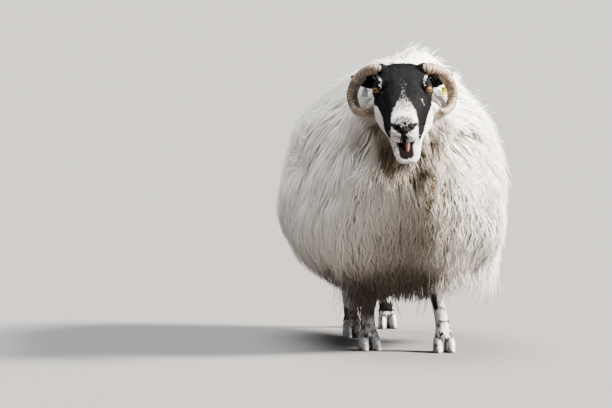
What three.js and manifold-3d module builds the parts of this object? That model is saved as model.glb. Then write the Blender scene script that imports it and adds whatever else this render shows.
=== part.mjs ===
// A life-size hill ewe of the Scottish Blackface type, standing in full fleece with the head turned and
// the mouth open. Millimetres, +Z up, facing -Y. The origin is on the floor, under the middle of the body.
// Every solid is worked out first in the animal's own frame, whose zero is on the floor midway between the
// two fore feet, and the head's pieces in the head's frame, whose zero is the poll between the horns.
import * as THREE from 'three';
import { LoftGeometry } from 'three/addons/geometries/LoftGeometry.js';
import { mergeVertices } from 'three/addons/utils/BufferGeometryUtils.js';
import Module from 'manifold-3d';

const wasm = await Module();
wasm.setup();

// ---- Driving dimensions ----
const gap = 0.5; // left between solids that touch
const fineness = 0.08; // detail smaller than this is merged away
const bodyFront = -216; // chest wool
const bodyRear = 648; // rump wool
const headPitch = 34; // degrees below level, along the bridge of the nose
const headYaw = -11; // degrees, turned to the animal's right
const headRoll = 1.2;
const poll = [-53, -193, 690];
const jawOpening = 12; // degrees
const jawSwing = 3; // degrees to the animal's left
const jawHinge = [0, -40, -60]; // in the head's frame
const eyeRadius = 13.5;
const eyeCentre = [55.5, -73, -23.5]; // left eye, in the head's frame
const gaze = [0.62, -0.58, 0.53]; // direction of the left eye, in the head's frame
const coronet = 34; // height of the top of the hooves
const fetlock = 66;

const colours = {
  wool: { color: 0xe6dfd4, roughness: 0.95, metalness: 0 },
  face: { color: 0x1d1c1f, roughness: 0.8, metalness: 0 },
  jaw: { color: 0xd9d3cb, roughness: 0.85, metalness: 0 },
  leg: { color: 0xc9c4bb, roughness: 0.85, metalness: 0 },
  horn: { color: 0x8f7a66, roughness: 0.6, metalness: 0 },
  hoof: { color: 0x6d665e, roughness: 0.55, metalness: 0 },
  eye: { color: 0xc98a2e, roughness: 0.1, metalness: 0 },
  tongue: { color: 0xb07a76, roughness: 0.5, metalness: 0 },
  yellowTag: { color: 0xd8c92c, roughness: 0.4, metalness: 0 },
  greyTag: { color: 0xb9bdc2, roughness: 0.4, metalness: 0 },
};

// ---- Shape helpers ----

// A smooth curve through stations [position, value], to be read at any position.
function through(stations) {
  const slopes = stations.map((station, i) => {
    const before = stations[Math.max(i - 1, 0)];
    const after = stations[Math.min(i + 1, stations.length - 1)];
    return (after[1] - before[1]) / (after[0] - before[0]);
  });
  return (position) => {
    let i = stations.findIndex((station) => station[0] > position) - 1;
    if (i === -2) i = stations.length - 2;
    i = Math.max(i, 0);
    const [from, a] = stations[i];
    const [to, b] = stations[i + 1];
    const span = to - from;
    const s = THREE.MathUtils.clamp((position - from) / span, 0, 1);
    const ease = s * s * (3 - 2 * s);
    const leave = slopes[i] * span * s * (1 - s) * (1 - s);
    const arrive = slopes[i + 1] * span * s * s * (s - 1);
    return a + (b - a) * ease + leave + arrive;
  };
}

// Reads a table of stations, first entry the position, as one smooth curve for each named column.
function columns(names, stations) {
  const curves = names.map((name, i) => through(stations.map((station) => [station[0], station[i + 1]])));
  return (position) => Object.fromEntries(names.map((name, i) => [name, curves[i](position)]));
}

// Lofts rings along a curve. Each ring lies across the curve, or level, and reaches `plus` and `minus` along
// the side vector, and `up` and `down` across it; `square` above 2 fills out its corners, given as one
// number or as [upper plus, upper minus, lower plus, lower minus]. `grow` moves the two end rings outward.
// With side null the rings keep a steady turn along the curve, and the stations must be even.
function sweep(curve, options) {
  const { stations, sides, side = new THREE.Vector3(1, 0, 0), level = false, grow = 0, shape } = options;
  const steady = side ? null : curve.computeFrenetFrames(stations.length - 1, false);
  const rings = stations.map((u, i) => {
    const along = level ? new THREE.Vector3(0, 0, -1) : steady ? steady.tangents[i] : curve.getTangent(u);
    const outward = i === 0 ? -grow : i === stations.length - 1 ? grow : 0;
    const centre = (steady ? curve.getPointAt(u) : curve.getPoint(u)).addScaledVector(along, outward);
    const across = steady
      ? steady.normals[i]
      : side.clone().addScaledVector(along, -side.dot(along)).normalize();
    const over = along.clone().cross(across);
    const ring = [];
    for (let j = 0; j < sides; j++) {
      const angle = (j / sides) * 2 * Math.PI;
      const c = Math.cos(angle);
      const s = Math.sin(angle);
      const { plus, minus, up, down, square = 2, cup = 0, lean = 0, lobes = () => 1 } = shape(u);
      const corner = (s > 0 ? 0 : 2) + (c > 0 ? 0 : 1);
      const power = 2 / (Array.isArray(square) ? square[corner] : square);
      const swell = lobes(angle, u);
      const a = (c > 0 ? plus : -minus) * Math.abs(c) ** power * swell + lean * Math.max(s, 0) ** 3;
      const b = (s > 0 ? up : -down) * Math.abs(s) ** power * swell + cup * c * c;
      ring.push(centre.clone().addScaledVector(across, a).addScaledVector(over, b));
    }
    return ring;
  });
  return new LoftGeometry(rings, { capStart: true, capEnd: true });
}

// count stations from 0 to 1, closer together at both ends where bunched.
function spaced(count, bunched = false) {
  return Array.from({ length: count }, (_, i) => {
    const u = i / (count - 1);
    return bunched ? (1 - Math.cos(u * Math.PI)) / 2 : u;
  });
}

const vector = (numbers) => new THREE.Vector3(...numbers);
const curveOf = (points) => new THREE.CatmullRomCurve3(points.map(vector), false, 'centripetal');

// A geometry as a solid for joining and cutting.
function solidOf(geometry) {
  const bare = new THREE.BufferGeometry();
  bare.setAttribute('position', geometry.getAttribute('position'));
  bare.setIndex(geometry.index);
  const merged = mergeVertices(bare, 1e-3);
  return new wasm.Manifold(
    new wasm.Mesh({
      numProp: 3,
      vertProperties: merged.getAttribute('position').array,
      triVerts: new Uint32Array(merged.index.array),
    }),
  );
}

// A solid as a geometry again.
function geometryOf(solid) {
  const mesh = solid.getMesh();
  const geometry = new THREE.BufferGeometry();
  const positions = new Float32Array(mesh.numVert * 3);
  for (let i = 0; i < mesh.numVert; i++) {
    positions.set(mesh.vertProperties.subarray(i * mesh.numProp, i * mesh.numProp + 3), i * 3);
  }
  geometry.setAttribute('position', new THREE.BufferAttribute(positions, 3));
  geometry.setIndex(new THREE.BufferAttribute(mesh.triVerts, 1));
  geometry.computeVertexNormals();
  return geometry;
}

// A shape moved by a matrix, as a solid.
const moved = (geometry, matrix) => solidOf(geometry).transform(matrix.elements);

// The largest of the bodies that a cut leaves.
function largest(solid) {
  return solid.decompose().reduce((best, body) => (body.volume() > best.volume() ? body : best));
}

function ellipsoid(centre, radii, segments = 12) {
  const ball = new THREE.SphereGeometry(1, segments, Math.round(segments * 0.7));
  return ball.scale(...radii).translate(...centre);
}

function node(name, solid, finish) {
  const light = largest(solid.simplify(fineness));
  const mesh = new THREE.Mesh(geometryOf(light), new THREE.MeshStandardMaterial(colours[finish]));
  mesh.name = name;
  return mesh;
}

// ---- The trunk, out to the tips of the fleece ----
// Columns along the body, from the chest to the rump: the fleece's top and hem, how far it reaches to each
// side, the height of its widest line, and how square its lower corner is on the left and on the right.
const trunkAt = columns(
  ['top', 'hem', 'left', 'right', 'widest', 'squareLeft', 'squareRight'],
  [
    [-216, 552, 268, 166, 166, 400, 2.2, 2.1],
    [-140, 642, 186, 224, 222, 362, 2.4, 2.1],
    [-40, 706, 140, 250, 248, 335, 2.7, 2.1],
    [60, 723, 108, 262, 252, 318, 3.2, 2],
    [200, 698, 94, 264, 250, 308, 3, 1.95],
    [360, 668, 90, 258, 247, 308, 2.5, 1.9],
    [510, 640, 98, 240, 232, 318, 2.3, 1.85],
    [648, 590, 136, 198, 194, 345, 2.2, 1.9],
  ],
);

function trunkShape(grow = 0) {
  const curve = new THREE.LineCurve3(new THREE.Vector3(0, bodyRear, 0), new THREE.Vector3(0, bodyFront, 0));
  const nearEnd = 0.004; // the end rings, as a share of the length
  const stations = spaced(25, true).map((u) => nearEnd + u * (1 - 2 * nearEnd));
  const shape = (u) => {
    const at = trunkAt(THREE.MathUtils.lerp(bodyRear, bodyFront, u));
    const end = Math.abs(2 * u - 1);
    const rounding = (1 - end ** 5) ** 0.5;
    const locks = (angle) => 1 + 0.012 * Math.sin(9 * angle + 14 * u) + 0.008 * Math.sin(17 * angle - 9 * u);
    return {
      plus: at.left * rounding + grow,
      minus: at.right * rounding + grow,
      up: (at.top - at.widest) * rounding + grow,
      down: (at.widest - at.hem) * rounding + grow,
      square: [1.85, 2.05, at.squareLeft, at.squareRight],
      lean: 30 * rounding,
      lobes: locks,
    };
  };
  const trunk = sweep(curve, { stations, sides: 34, grow, shape });
  // The rings are laid on the floor line: each is raised to the height of its own widest line.
  const positions = trunk.getAttribute('position');
  for (let i = 0; i < positions.count; i++) {
    const along = THREE.MathUtils.clamp(positions.getY(i), bodyFront, bodyRear);
    positions.setZ(i, positions.getZ(i) + trunkAt(along).widest);
  }
  return trunk;
}

// ---- The neck, in its ruff of wool ----
function neckShape(grow = 0) {
  const curve = curveOf([
    [0, 60, 450],
    [-14, -36, 530],
    [-32, -98, 592],
    [-45, -146, 636],
  ]);
  const reach = columns(
    ['side', 'up', 'down'],
    [
      [0, 205, 190, 190],
      [0.35, 186, 156, 176],
      [0.6, 150, 118, 150],
      [0.8, 116, 88, 126],
      [0.93, 92, 68, 104],
      [1, 66, 48, 82],
    ],
  );
  const shape = (u) => {
    const at = reach(u);
    const locks = (angle) => 1 + 0.02 * Math.sin(8 * angle + 20 * u);
    const side = at.side + grow;
    return { plus: side, minus: side, up: at.up + grow, down: at.down + grow, lobes: locks };
  };
  return sweep(curve, { stations: spaced(10), sides: 26, grow, shape });
}

// ---- The tail, hanging in wool against the rump ----
function tailShape() {
  const curve = curveOf([
    [4, bodyRear - 96, 560],
    [4, bodyRear - 34, 515],
    [2, bodyRear - 4, 420],
    [0, bodyRear - 10, 340],
    [-2, bodyRear - 22, 262],
  ]);
  const reach = columns(
    ['side', 'thick'],
    [
      [0, 44, 30],
      [0.3, 56, 38],
      [0.7, 50, 34],
      [0.92, 30, 22],
      [1, 10, 8],
    ],
  );
  const shape = (u) => {
    const at = reach(u);
    return { plus: at.side, minus: at.side, up: at.thick, down: at.thick };
  };
  return sweep(curve, { stations: spaced(9), sides: 12, level: true, shape });
}

// ---- The head, in its own frame: nose towards -Y, top of the skull +Z ----
// Columns from behind the poll to the nose.
const headAt = columns(
  ['top', 'base', 'side', 'widest', 'squareTop', 'square'],
  [
    [-48, -48, -104, 38, -70, 2.2, 2],
    [-24, -17, -118, 52, -62, 2.6, 2.1],
    [0, -3, -128, 60, -54, 2.8, 2.2],
    [32, 6, -134, 64, -46, 2.6, 2.3],
    [66, 8, -134, 66, -46, 2.4, 2.4],
    [96, 2, -124, 63, -50, 2.3, 2.4],
    [124, -3, -104, 54, -48, 2.2, 2.4],
    [150, -4, -78, 43, -40, 2.3, 2.5],
    [178, -5, -62, 36.5, -34, 2.5, 2.6],
    [206, -8, -59, 36.5, -34, 2.5, 2.5],
    [224, -15, -59, 34, -36, 2.4, 2.4],
    [237, -27, -52, 21, -40, 2, 2],
  ],
);

function skullShape(grow = 0) {
  const from = -48;
  const to = 237;
  const curve = new THREE.LineCurve3(new THREE.Vector3(0, -from, 0), new THREE.Vector3(0, -to, 0));
  const shape = (u) => {
    const at = headAt(THREE.MathUtils.lerp(from, to, u));
    return {
      plus: at.side + grow,
      minus: at.side + grow,
      up: at.top - at.widest + grow,
      down: at.widest - at.base + grow,
      square: [at.squareTop, at.squareTop, at.square, at.square],
    };
  };
  const skull = sweep(curve, { stations: spaced(21, true), sides: 24, grow, shape });
  const positions = skull.getAttribute('position');
  for (let i = 0; i < positions.count; i++) {
    positions.setZ(i, positions.getZ(i) + headAt(-positions.getY(i)).widest);
  }
  return skull;
}

// The mandible, drawn closed and then swung open about its hinge.
const jawAt = columns(
  ['top', 'base', 'side'],
  [
    [58, -84, -130, 58],
    [100, -70, -121, 53],
    [132, -52, -108, 45],
    [152, -50, -102, 40],
    [164, -60, -98, 37],
    [174, -71, -96, 34.5],
    [196, -74, -93, 31],
    [214, -76, -93, 28],
    [227, -80, -89, 17],
  ],
);

const jawPose = new THREE.Matrix4()
  .makeTranslation(...jawHinge)
  .multiply(
    new THREE.Matrix4().makeRotationFromEuler(
      new THREE.Euler(THREE.MathUtils.degToRad(jawOpening), 0, THREE.MathUtils.degToRad(jawSwing), 'ZXY'),
    ),
  )
  .multiply(new THREE.Matrix4().makeTranslation(...jawHinge.map((v) => -v)));

function jawShape(grow = 0) {
  const from = 58;
  const to = 227;
  const curve = new THREE.LineCurve3(new THREE.Vector3(0, -from, 0), new THREE.Vector3(0, -to, 0));
  const shape = (u) => {
    const at = jawAt(THREE.MathUtils.lerp(from, to, u));
    const half = (at.top - at.base) / 2 + grow;
    return { plus: at.side + grow, minus: at.side + grow, up: half, down: half, square: 2.5 };
  };
  const jaw = sweep(curve, { stations: spaced(13, true), sides: 16, grow, shape });
  const positions = jaw.getAttribute('position');
  for (let i = 0; i < positions.count; i++) {
    const at = jawAt(-positions.getY(i));
    positions.setZ(i, positions.getZ(i) + (at.top + at.base) / 2);
  }
  return jaw.applyMatrix4(jawPose);
}

function tongueShape() {
  const curve = curveOf([
    [0, -120, -72],
    [0, -160, -66],
    [0, -190, -65],
    [0, -210, -68],
  ]);
  const shape = (u) => {
    const taper = 1 - 0.55 * u ** 3;
    return { plus: 16 * taper, minus: 16 * taper, up: 6 * taper, down: 5 * taper };
  };
  return sweep(curve, { stations: spaced(8), sides: 12, shape }).applyMatrix4(jawPose);
}

// Pieces that come in pairs take side 1 for the animal's left and -1 for its right.
const sided = (side, [x, y, z]) => [side * x, y, z];

function browShape(side) {
  const [x, y, z] = sided(side, eyeCentre);
  return ellipsoid([x - side * 2, y + 3, z], [18.5, 30, 24], 10);
}

// The gap between the lids: a flattened cone that widens outward along the gaze.
function lidOpening(side) {
  const cone = new THREE.CylinderGeometry(15, 8, 26, 14).translate(0, 16, 0).scale(1, 1, 0.74);
  const out = vector(sided(side, gaze)).normalize();
  const along = new THREE.Vector3(0, -1, -0.35).cross(out).cross(out).negate().normalize();
  const pose = new THREE.Matrix4().makeBasis(along, out, along.clone().cross(out));
  return cone.applyMatrix4(pose.setPosition(...sided(side, eyeCentre)));
}

function nostrilShape(side) {
  const slit = ellipsoid([0, 0, 0], [13, 9, 4.5], 8);
  slit.rotateY(side * 0.6).rotateZ(side * 0.5);
  return slit.translate(side * 17, -230, -24);
}

// The horn leaves the poll, sweeps out, back and down round the ear, and comes forward under the eye.
function hornShape(side, grow = 0) {
  const tip = side === 1 ? [[93, -57, -99], [86, -68, -84]] : [[91, -60, -94], [78, -73, -71]];
  const curve = curveOf(
    [
      [40, -16, -7],
      [58, -13, -6],
      [80, -4, -18],
      [99, 4, -42],
      [112, 8, -70],
      [117, 4, -91],
      [114, -12, -105],
      [105, -36, -108],
      ...tip,
    ].map((point) => sided(side, point)),
  );
  const shape = (u) => {
    const thick = 15.8 - 3 * u - 5.5 * u ** 5;
    const ridge = 1 + 0.035 * Math.sin(u * 2 * Math.PI * 12);
    return {
      plus: thick * ridge + grow,
      minus: thick * ridge + grow,
      up: thick * 0.86 * ridge + grow,
      down: thick * 0.86 * ridge + grow,
    };
  };
  return sweep(curve, { stations: spaced(31), sides: 10, side: null, grow, shape });
}

// The ear leaves the head under the horn and points out and back, its hollow side forward.
function earShape(side) {
  const curve = curveOf(
    [
      [52, -26, -42],
      [72, -8, -54],
      [92, 16, -66],
      [108, 40, -75],
      [120, 60, -80],
    ].map((point) => sided(side, point)),
  );
  const reach = columns(
    ['wide', 'thick'],
    [
      [0, 11, 6],
      [0.3, 17, 3.4],
      [0.6, 19, 2.6],
      [0.85, 12, 2.2],
      [1, 4, 1.6],
    ],
  );
  const shape = (u) => {
    const at = reach(u);
    return { plus: at.wide, minus: at.wide, up: at.thick, down: at.thick, cup: -side * at.wide * 0.28 };
  };
  return sweep(curve, { stations: spaced(9), sides: 10, side: new THREE.Vector3(0, -0.25, 1), shape });
}

// A plastic ear tag: a rounded plate with a round stud through its top.
function tagShape(place, turn, size, grow = 0) {
  const [wide, tall] = size;
  const corner = 3;
  const outline = new THREE.Shape();
  outline.moveTo(-wide / 2 + corner, -tall);
  outline.lineTo(wide / 2 - corner, -tall);
  outline.absarc(wide / 2 - corner, -tall + corner, corner, -Math.PI / 2, 0, false);
  outline.lineTo(wide / 2, -corner);
  outline.absarc(0, -corner, wide / 2, 0, Math.PI, false);
  outline.lineTo(-wide / 2, -tall + corner);
  outline.absarc(-wide / 2 + corner, -tall + corner, corner, Math.PI, Math.PI * 1.5, false);
  const extrusion = { depth: 2.2 + 2 * grow, bevelEnabled: false, curveSegments: 4 };
  const plate = new THREE.ExtrudeGeometry(outline, extrusion);
  plate.translate(0, 0, -1.1 - grow);
  plate.scale(1 + (2 * grow) / wide, 1 + (2 * grow) / tall, 1);
  plate.rotateX(Math.PI / 2);
  const stud = new THREE.CylinderGeometry(3.2 + grow, 3.2 + grow, 5 + 2 * grow, 10).translate(0, -1.2, -3);
  const facing = new THREE.Euler(...turn, 'ZXY');
  const pose = new THREE.Matrix4().makeRotationFromEuler(facing).setPosition(...place);
  return moved(plate, pose).add(moved(stud, pose));
}

// ---- Legs and feet ----
// One row for each foot: its place on the floor, where the leg enters the fleece, and which way it points.
const feet = [
  { name: 'left_fore', foot: [82, -40], top: [50, -4], hind: false, turn: -0.1 },
  { name: 'right_fore', foot: [-82, 41], top: [-74, 34], hind: false, turn: 0.06 },
  { name: 'left_hind', foot: [74, 573], top: [66, 556], hind: true, turn: -0.06 },
  { name: 'right_hind', foot: [-58, 362], top: [-66, 398], hind: true, turn: 0.06 },
];

function legShape({ foot, top, hind }) {
  const [x, y] = foot;
  const knee = hind ? 225 : 200;
  const back = hind ? 22 : 17; // the fetlock stands behind the foot
  const curve = curveOf([
    [top[0], top[1], 330],
    [x + (top[0] - x) * 0.75, y + back + (top[1] - y - back) * 0.8, knee],
    [x + (top[0] - x) * 0.4, y + back + (top[1] - y - back) * 0.35, 130],
    [x, y + back, fetlock],
    [x, y + back * 0.45, fetlock - 16],
    [x, y, coronet + gap],
  ]);
  // Half-widths across and fore-and-aft by height above the floor.
  const reach = columns(
    ['wide', 'deep'],
    [
      [coronet, 21.5, 23],
      [46, 19, 21],
      [56, 17, 20],
      [fetlock, 17.2, 22],
      [86, 15, 18],
      [110, 15, 17],
      [140, hind ? 16 : 19, 19],
      [knee, hind ? 19 : 21, hind ? 27 : 23],
      [330, 36, 50],
    ],
  );
  const slim = hind ? 0.94 : 1;
  const shape = (u) => {
    const at = reach(curve.getPoint(u).z);
    return { plus: at.wide * slim, minus: at.wide * slim, up: at.deep, down: at.deep, square: 2.2 };
  };
  return sweep(curve, { stations: spaced(14), sides: 12, level: true, shape });
}

function dewclawShape({ foot, hind }, side) {
  const claw = ellipsoid([0, 0, 0], [5.5, 6, 8], 8);
  claw.rotateX(-0.5);
  return claw.translate(foot[0] + side * 11, foot[1] + (hind ? 44 : 40), fetlock - 11);
}

// One claw: a flat sole, a sloping wall and a toe that turns out a little.
function clawShape({ foot, turn, hind }, side) {
  const slim = hind ? 0.86 : 1;
  const walls = columns(
    ['toe', 'heel', 'side'],
    [
      [0, 35, 21, 12.6],
      [4, 34, 22, 13],
      [20, 25, 23, 12.6],
      [coronet, 17, 22, 11.6],
    ],
  );
  const heights = [coronet, 20, 4, 0];
  const curve = new THREE.LineCurve3(new THREE.Vector3(0, 0, coronet), new THREE.Vector3(0, 0, 0));
  const stations = heights.map((height) => 1 - height / coronet);
  const shape = (u) => {
    const at = walls(coronet * (1 - u));
    return { plus: at.side * slim, minus: at.side * slim, up: at.toe, down: at.heel, square: 2.3 };
  };
  const claw = sweep(curve, { stations, sides: 12, level: true, shape });
  claw.rotateZ(turn + side * 0.1);
  return claw.translate(foot[0] + side * 13.8 * slim, foot[1], 0);
}

// ---- Placing and parting ----
const headPose = new THREE.Matrix4()
  .makeRotationFromEuler(
    new THREE.Euler(
      THREE.MathUtils.degToRad(headPitch),
      THREE.MathUtils.degToRad(-headRoll),
      THREE.MathUtils.degToRad(headYaw),
      'ZXY',
    ),
  )
  .setPosition(...poll);

const animal = new THREE.Group();
const head = new THREE.Group();
head.applyMatrix4(headPose);
animal.add(head);

// The head's pieces, in the head's frame. Cutting order: eyes and horns are whole, the neck's wool wraps the
// back of the head, and the jaw is parted from the head by a thin cut.
const neckAroundHead = moved(neckShape(gap), headPose.clone().invert());
let skull = solidOf(skullShape());
for (const side of [1, -1]) {
  skull = skull.add(solidOf(browShape(side)));
}
for (const side of [1, -1]) {
  const socket = ellipsoid(sided(side, eyeCentre), Array(3).fill(eyeRadius + gap));
  skull = skull.subtract(solidOf(socket)).subtract(solidOf(lidOpening(side)));
  skull = skull.subtract(solidOf(nostrilShape(side)));
  skull = skull.subtract(solidOf(hornShape(side, gap)));
}
const ears = [1, -1].map((side) => solidOf(earShape(side)));
head.add(node('head', largest(skull.subtract(neckAroundHead)), 'face'));

const tongue = solidOf(tongueShape());
const jaw = solidOf(jawShape()).subtract(solidOf(skullShape(gap))).subtract(neckAroundHead);
head.add(node('lower_jaw', largest(jaw), 'jaw'));
const mouth = solidOf(skullShape(gap)).add(solidOf(jawShape(gap)));
head.add(node('tongue', largest(tongue.subtract(mouth)), 'tongue'));

const tags = {
  left_ear_tag: { place: [97, -4, -70], turn: [-0.55, 0.2, 0.5], size: [12, 17], finish: 'yellowTag' },
  right_ear_tag: { place: [-87, -6, -68], turn: [-0.55, -0.2, -0.4], size: [13, 18], finish: 'greyTag' },
};

for (const [i, side] of [1, -1].entries()) {
  const name = side === 1 ? 'left' : 'right';
  const eye = ellipsoid(sided(side, eyeCentre), Array(3).fill(eyeRadius));
  head.add(node(`${name}_eye`, solidOf(eye), 'eye'));
  head.add(node(`${name}_horn`, solidOf(hornShape(side)), 'horn'));
  let ear = ears[i].subtract(solidOf(skullShape(gap))).subtract(solidOf(hornShape(side, gap)));
  ear = ear.subtract(neckAroundHead);
  for (const tag of Object.values(tags)) {
    ear = ear.subtract(tagShape(tag.place, tag.turn, tag.size, gap));
  }
  head.add(node(`${name}_ear`, largest(ear), 'face'));
}
for (const [name, tag] of Object.entries(tags)) {
  head.add(node(name, tagShape(tag.place, tag.turn, tag.size), tag.finish));
}

// The body, in the animal's frame.
let neck = solidOf(neckShape()).subtract(solidOf(trunkShape(gap)));
for (const side of [1, -1]) {
  neck = neck.subtract(moved(hornShape(side, gap), headPose));
}
for (const { place, turn, size } of Object.values(tags)) {
  neck = neck.subtract(tagShape(place, turn, size, gap).transform(headPose.elements));
}
animal.add(node('neck', largest(neck), 'wool'));
const trunk = solidOf(trunkShape());
animal.add(node('trunk', trunk, 'wool'));
animal.add(node('tail', largest(solidOf(tailShape()).subtract(solidOf(trunkShape(gap)))), 'wool'));

for (const leg of feet) {
  let limb = solidOf(legShape(leg));
  for (const side of [1, -1]) {
    limb = limb.add(solidOf(dewclawShape(leg, side)));
    const which = side === Math.sign(leg.foot[0]) ? 'outer' : 'inner';
    animal.add(node(`${leg.name}_${which}_claw`, solidOf(clawShape(leg, side)), 'hoof'));
  }
  animal.add(node(`${leg.name}_leg`, largest(limb.subtract(solidOf(trunkShape(gap)))), 'leg'));
}

// The origin goes under the middle of the whole model.
const part = new THREE.Group();
part.add(animal);
part.updateMatrixWorld(true);
const box = new THREE.Box3().setFromObject(animal, true);
animal.position.set(-(box.min.x + box.max.x) / 2, -(box.min.y + box.max.y) / 2, -box.min.z);

export default part;
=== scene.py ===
import math
import bpy
import numpy as np
from mathutils import Matrix, Vector
from mathutils.bvhtree import BVHTree
from mathutils.kdtree import KDTree


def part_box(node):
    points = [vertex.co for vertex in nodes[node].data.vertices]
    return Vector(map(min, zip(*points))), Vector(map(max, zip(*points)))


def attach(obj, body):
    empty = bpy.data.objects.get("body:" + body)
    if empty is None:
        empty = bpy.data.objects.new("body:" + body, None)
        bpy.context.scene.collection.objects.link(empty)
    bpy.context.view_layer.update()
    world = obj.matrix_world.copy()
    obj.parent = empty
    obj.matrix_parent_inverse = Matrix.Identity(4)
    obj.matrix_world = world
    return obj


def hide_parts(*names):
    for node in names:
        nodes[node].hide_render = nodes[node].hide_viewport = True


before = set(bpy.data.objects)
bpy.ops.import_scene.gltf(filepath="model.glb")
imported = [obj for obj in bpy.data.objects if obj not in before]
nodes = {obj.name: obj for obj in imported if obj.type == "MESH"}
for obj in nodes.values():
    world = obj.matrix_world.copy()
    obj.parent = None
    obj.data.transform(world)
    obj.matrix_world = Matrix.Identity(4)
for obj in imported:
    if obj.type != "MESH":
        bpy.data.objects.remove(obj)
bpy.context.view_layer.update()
bpy.ops.object.select_all(action="DESELECT")
scene = bpy.context.scene
mm = 0.001


# small helpers

def linear(code):
    # an sRGB hex colour as linear red, green, blue and alpha
    parts = [int(code[i:i + 2], 16) / 255 for i in (1, 3, 5)]
    return tuple(v / 12.92 if v <= 0.04045 else ((v + 0.055) / 1.055) ** 2.4 for v in parts) + (1.0,)


def setInputs(tree, node, inputs):
    # links the inputs that are sockets and sets the others
    for key, value in inputs.items():
        if isinstance(value, bpy.types.NodeSocket):
            tree.links.new(value, node.inputs[key])
        else:
            node.inputs[key].default_value = value


def addNode(tree, kind, inputs, out=0, **settings):
    # adds a node with its settings and links, and gives one of its outputs
    node = tree.nodes.new("ShaderNode" + kind)
    for key, value in settings.items():
        setattr(node, key, value)
    setInputs(tree, node, inputs)
    return node.outputs[out]


def pick(*objects):
    bpy.ops.object.select_all(action="DESELECT")
    for each in objects:
        each.select_set(True)
    bpy.context.view_layer.objects.active = objects[0]


def settle(piece):
    # moves the object's place, turn and size into its mesh
    pick(piece)
    bpy.ops.object.transform_apply(location=True, rotation=True, scale=True)


def modify(piece, kind, **settings):
    pick(piece)
    modifier = piece.modifiers.new(kind.lower(), kind)
    for key, value in settings.items():
        setattr(modifier, key, value)
    bpy.ops.object.modifier_apply(modifier=modifier.name)


def clean(piece, distance=0.02):
    # merges doubles and turns the faces outward
    pick(piece)
    bpy.ops.object.mode_set(mode="EDIT")
    bpy.ops.mesh.select_all(action="SELECT")
    bpy.ops.mesh.remove_doubles(threshold=distance * mm)
    bpy.ops.mesh.normals_make_consistent(inside=False)
    bpy.ops.object.mode_set(mode="OBJECT")


def cadCopy(name, *members):
    copies = []
    for member in members:
        twin = nodes[member].copy()
        twin.data = nodes[member].data.copy()
        twin.parent = None
        for key in list(twin.keys()):
            del twin[key]
        twin.data.materials.clear()
        scene.collection.objects.link(twin)
        copies.append(twin)
    for twin in copies:
        clean(twin)
    pick(*copies)
    if len(copies) > 1:
        bpy.ops.object.join()
    copies[0].name = name
    return copies[0]


def ball(centre, radii):
    bpy.ops.object.select_all(action="DESELECT")
    bpy.ops.mesh.primitive_uv_sphere_add(segments=32, ring_count=16, radius=1.0)
    piece = bpy.context.object
    piece.scale = Vector(radii) * mm
    piece.location = Vector(centre) * mm
    settle(piece)
    return piece


def smoothFaces(piece):
    piece.data.polygons.foreach_set("use_smooth", np.ones(len(piece.data.polygons), bool))


def merge(name, *pieces):
    pick(*pieces)
    bpy.ops.object.join()
    pieces[0].name = name
    return pieces[0]


def remesh(piece, size):
    modify(piece, "REMESH", mode="VOXEL", voxel_size=size * mm, adaptivity=0.0)


def points(piece):
    flat = np.empty(len(piece.data.vertices) * 3, np.float32)
    piece.data.vertices.foreach_get("co", flat)
    return flat.reshape(-1, 3).astype(float) / mm


def setPoints(piece, places):
    piece.data.vertices.foreach_set("co", (places * mm).astype(np.float32).ravel())
    piece.data.update()


def normals(piece):
    flat = np.empty(len(piece.data.vertices) * 3, np.float32)
    piece.data.vertex_normals.foreach_get("vector", flat)
    return flat.reshape(-1, 3).astype(float)


def store(piece, name, values):
    # keeps a number or a vector for each vertex, for the materials to read
    values = np.asarray(values, np.float32)
    kind, field = ("FLOAT", "value") if values.ndim == 1 else ("FLOAT_VECTOR", "vector")
    piece.data.attributes.new(name, kind, "POINT").data.foreach_set(field, values.ravel())


def unit(vectors):
    return vectors / np.maximum(np.linalg.norm(vectors, axis=-1, keepdims=True), 1e-9)


def ramp(values, low, high):
    # 0 at low, 1 at high, smooth between
    u = np.clip((values - low) / (high - low), 0, 1)
    return u * u * (3 - 2 * u)


def ripple(places, size, seed):
    # smooth noise between about -1 and 1 with features of that size
    source = np.random.default_rng(seed)
    total = np.zeros(len(places))
    for octave in range(7):
        wave = unit(source.normal(size=3)) * 2 * math.pi / (size * source.uniform(0.7, 1.6))
        total += np.sin(places @ wave + source.uniform(0, 6.28))
    return total / 2.6


# the head's own frame

# where its origin lies and how it is turned: the heading, then the tip of the nose, then the lean
poll = np.array([-61.99, -347.62, 690.0])
headTurn = (Matrix.Rotation(math.radians(-11), 3, "Z") @ Matrix.Rotation(math.radians(34), 3, "X")
            @ Matrix.Rotation(math.radians(-1.2), 3, "Y"))
headAxes = np.array(headTurn)


def toHead(places):
    # x to the animal's left, -y to the nose, z to the forehead, from the poll
    return (places - poll) @ headAxes


def fromHead(places):
    return np.asarray(places, float) @ headAxes.T + poll


# markings, the same for the skin and the coat

def near(places, start, end, radius, soft):
    # 1 inside a capsule between two places, 0 beyond its soft edge
    start, end = np.array(start, float), np.array(end, float)
    line = end - start
    along = np.clip((places - start) @ line / max(line @ line, 1e-9), 0, 1)
    distance = np.linalg.norm(places - start - along[:, None] * line, axis=1)
    return 1 - ramp(distance, radius - soft, radius + soft)


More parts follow.
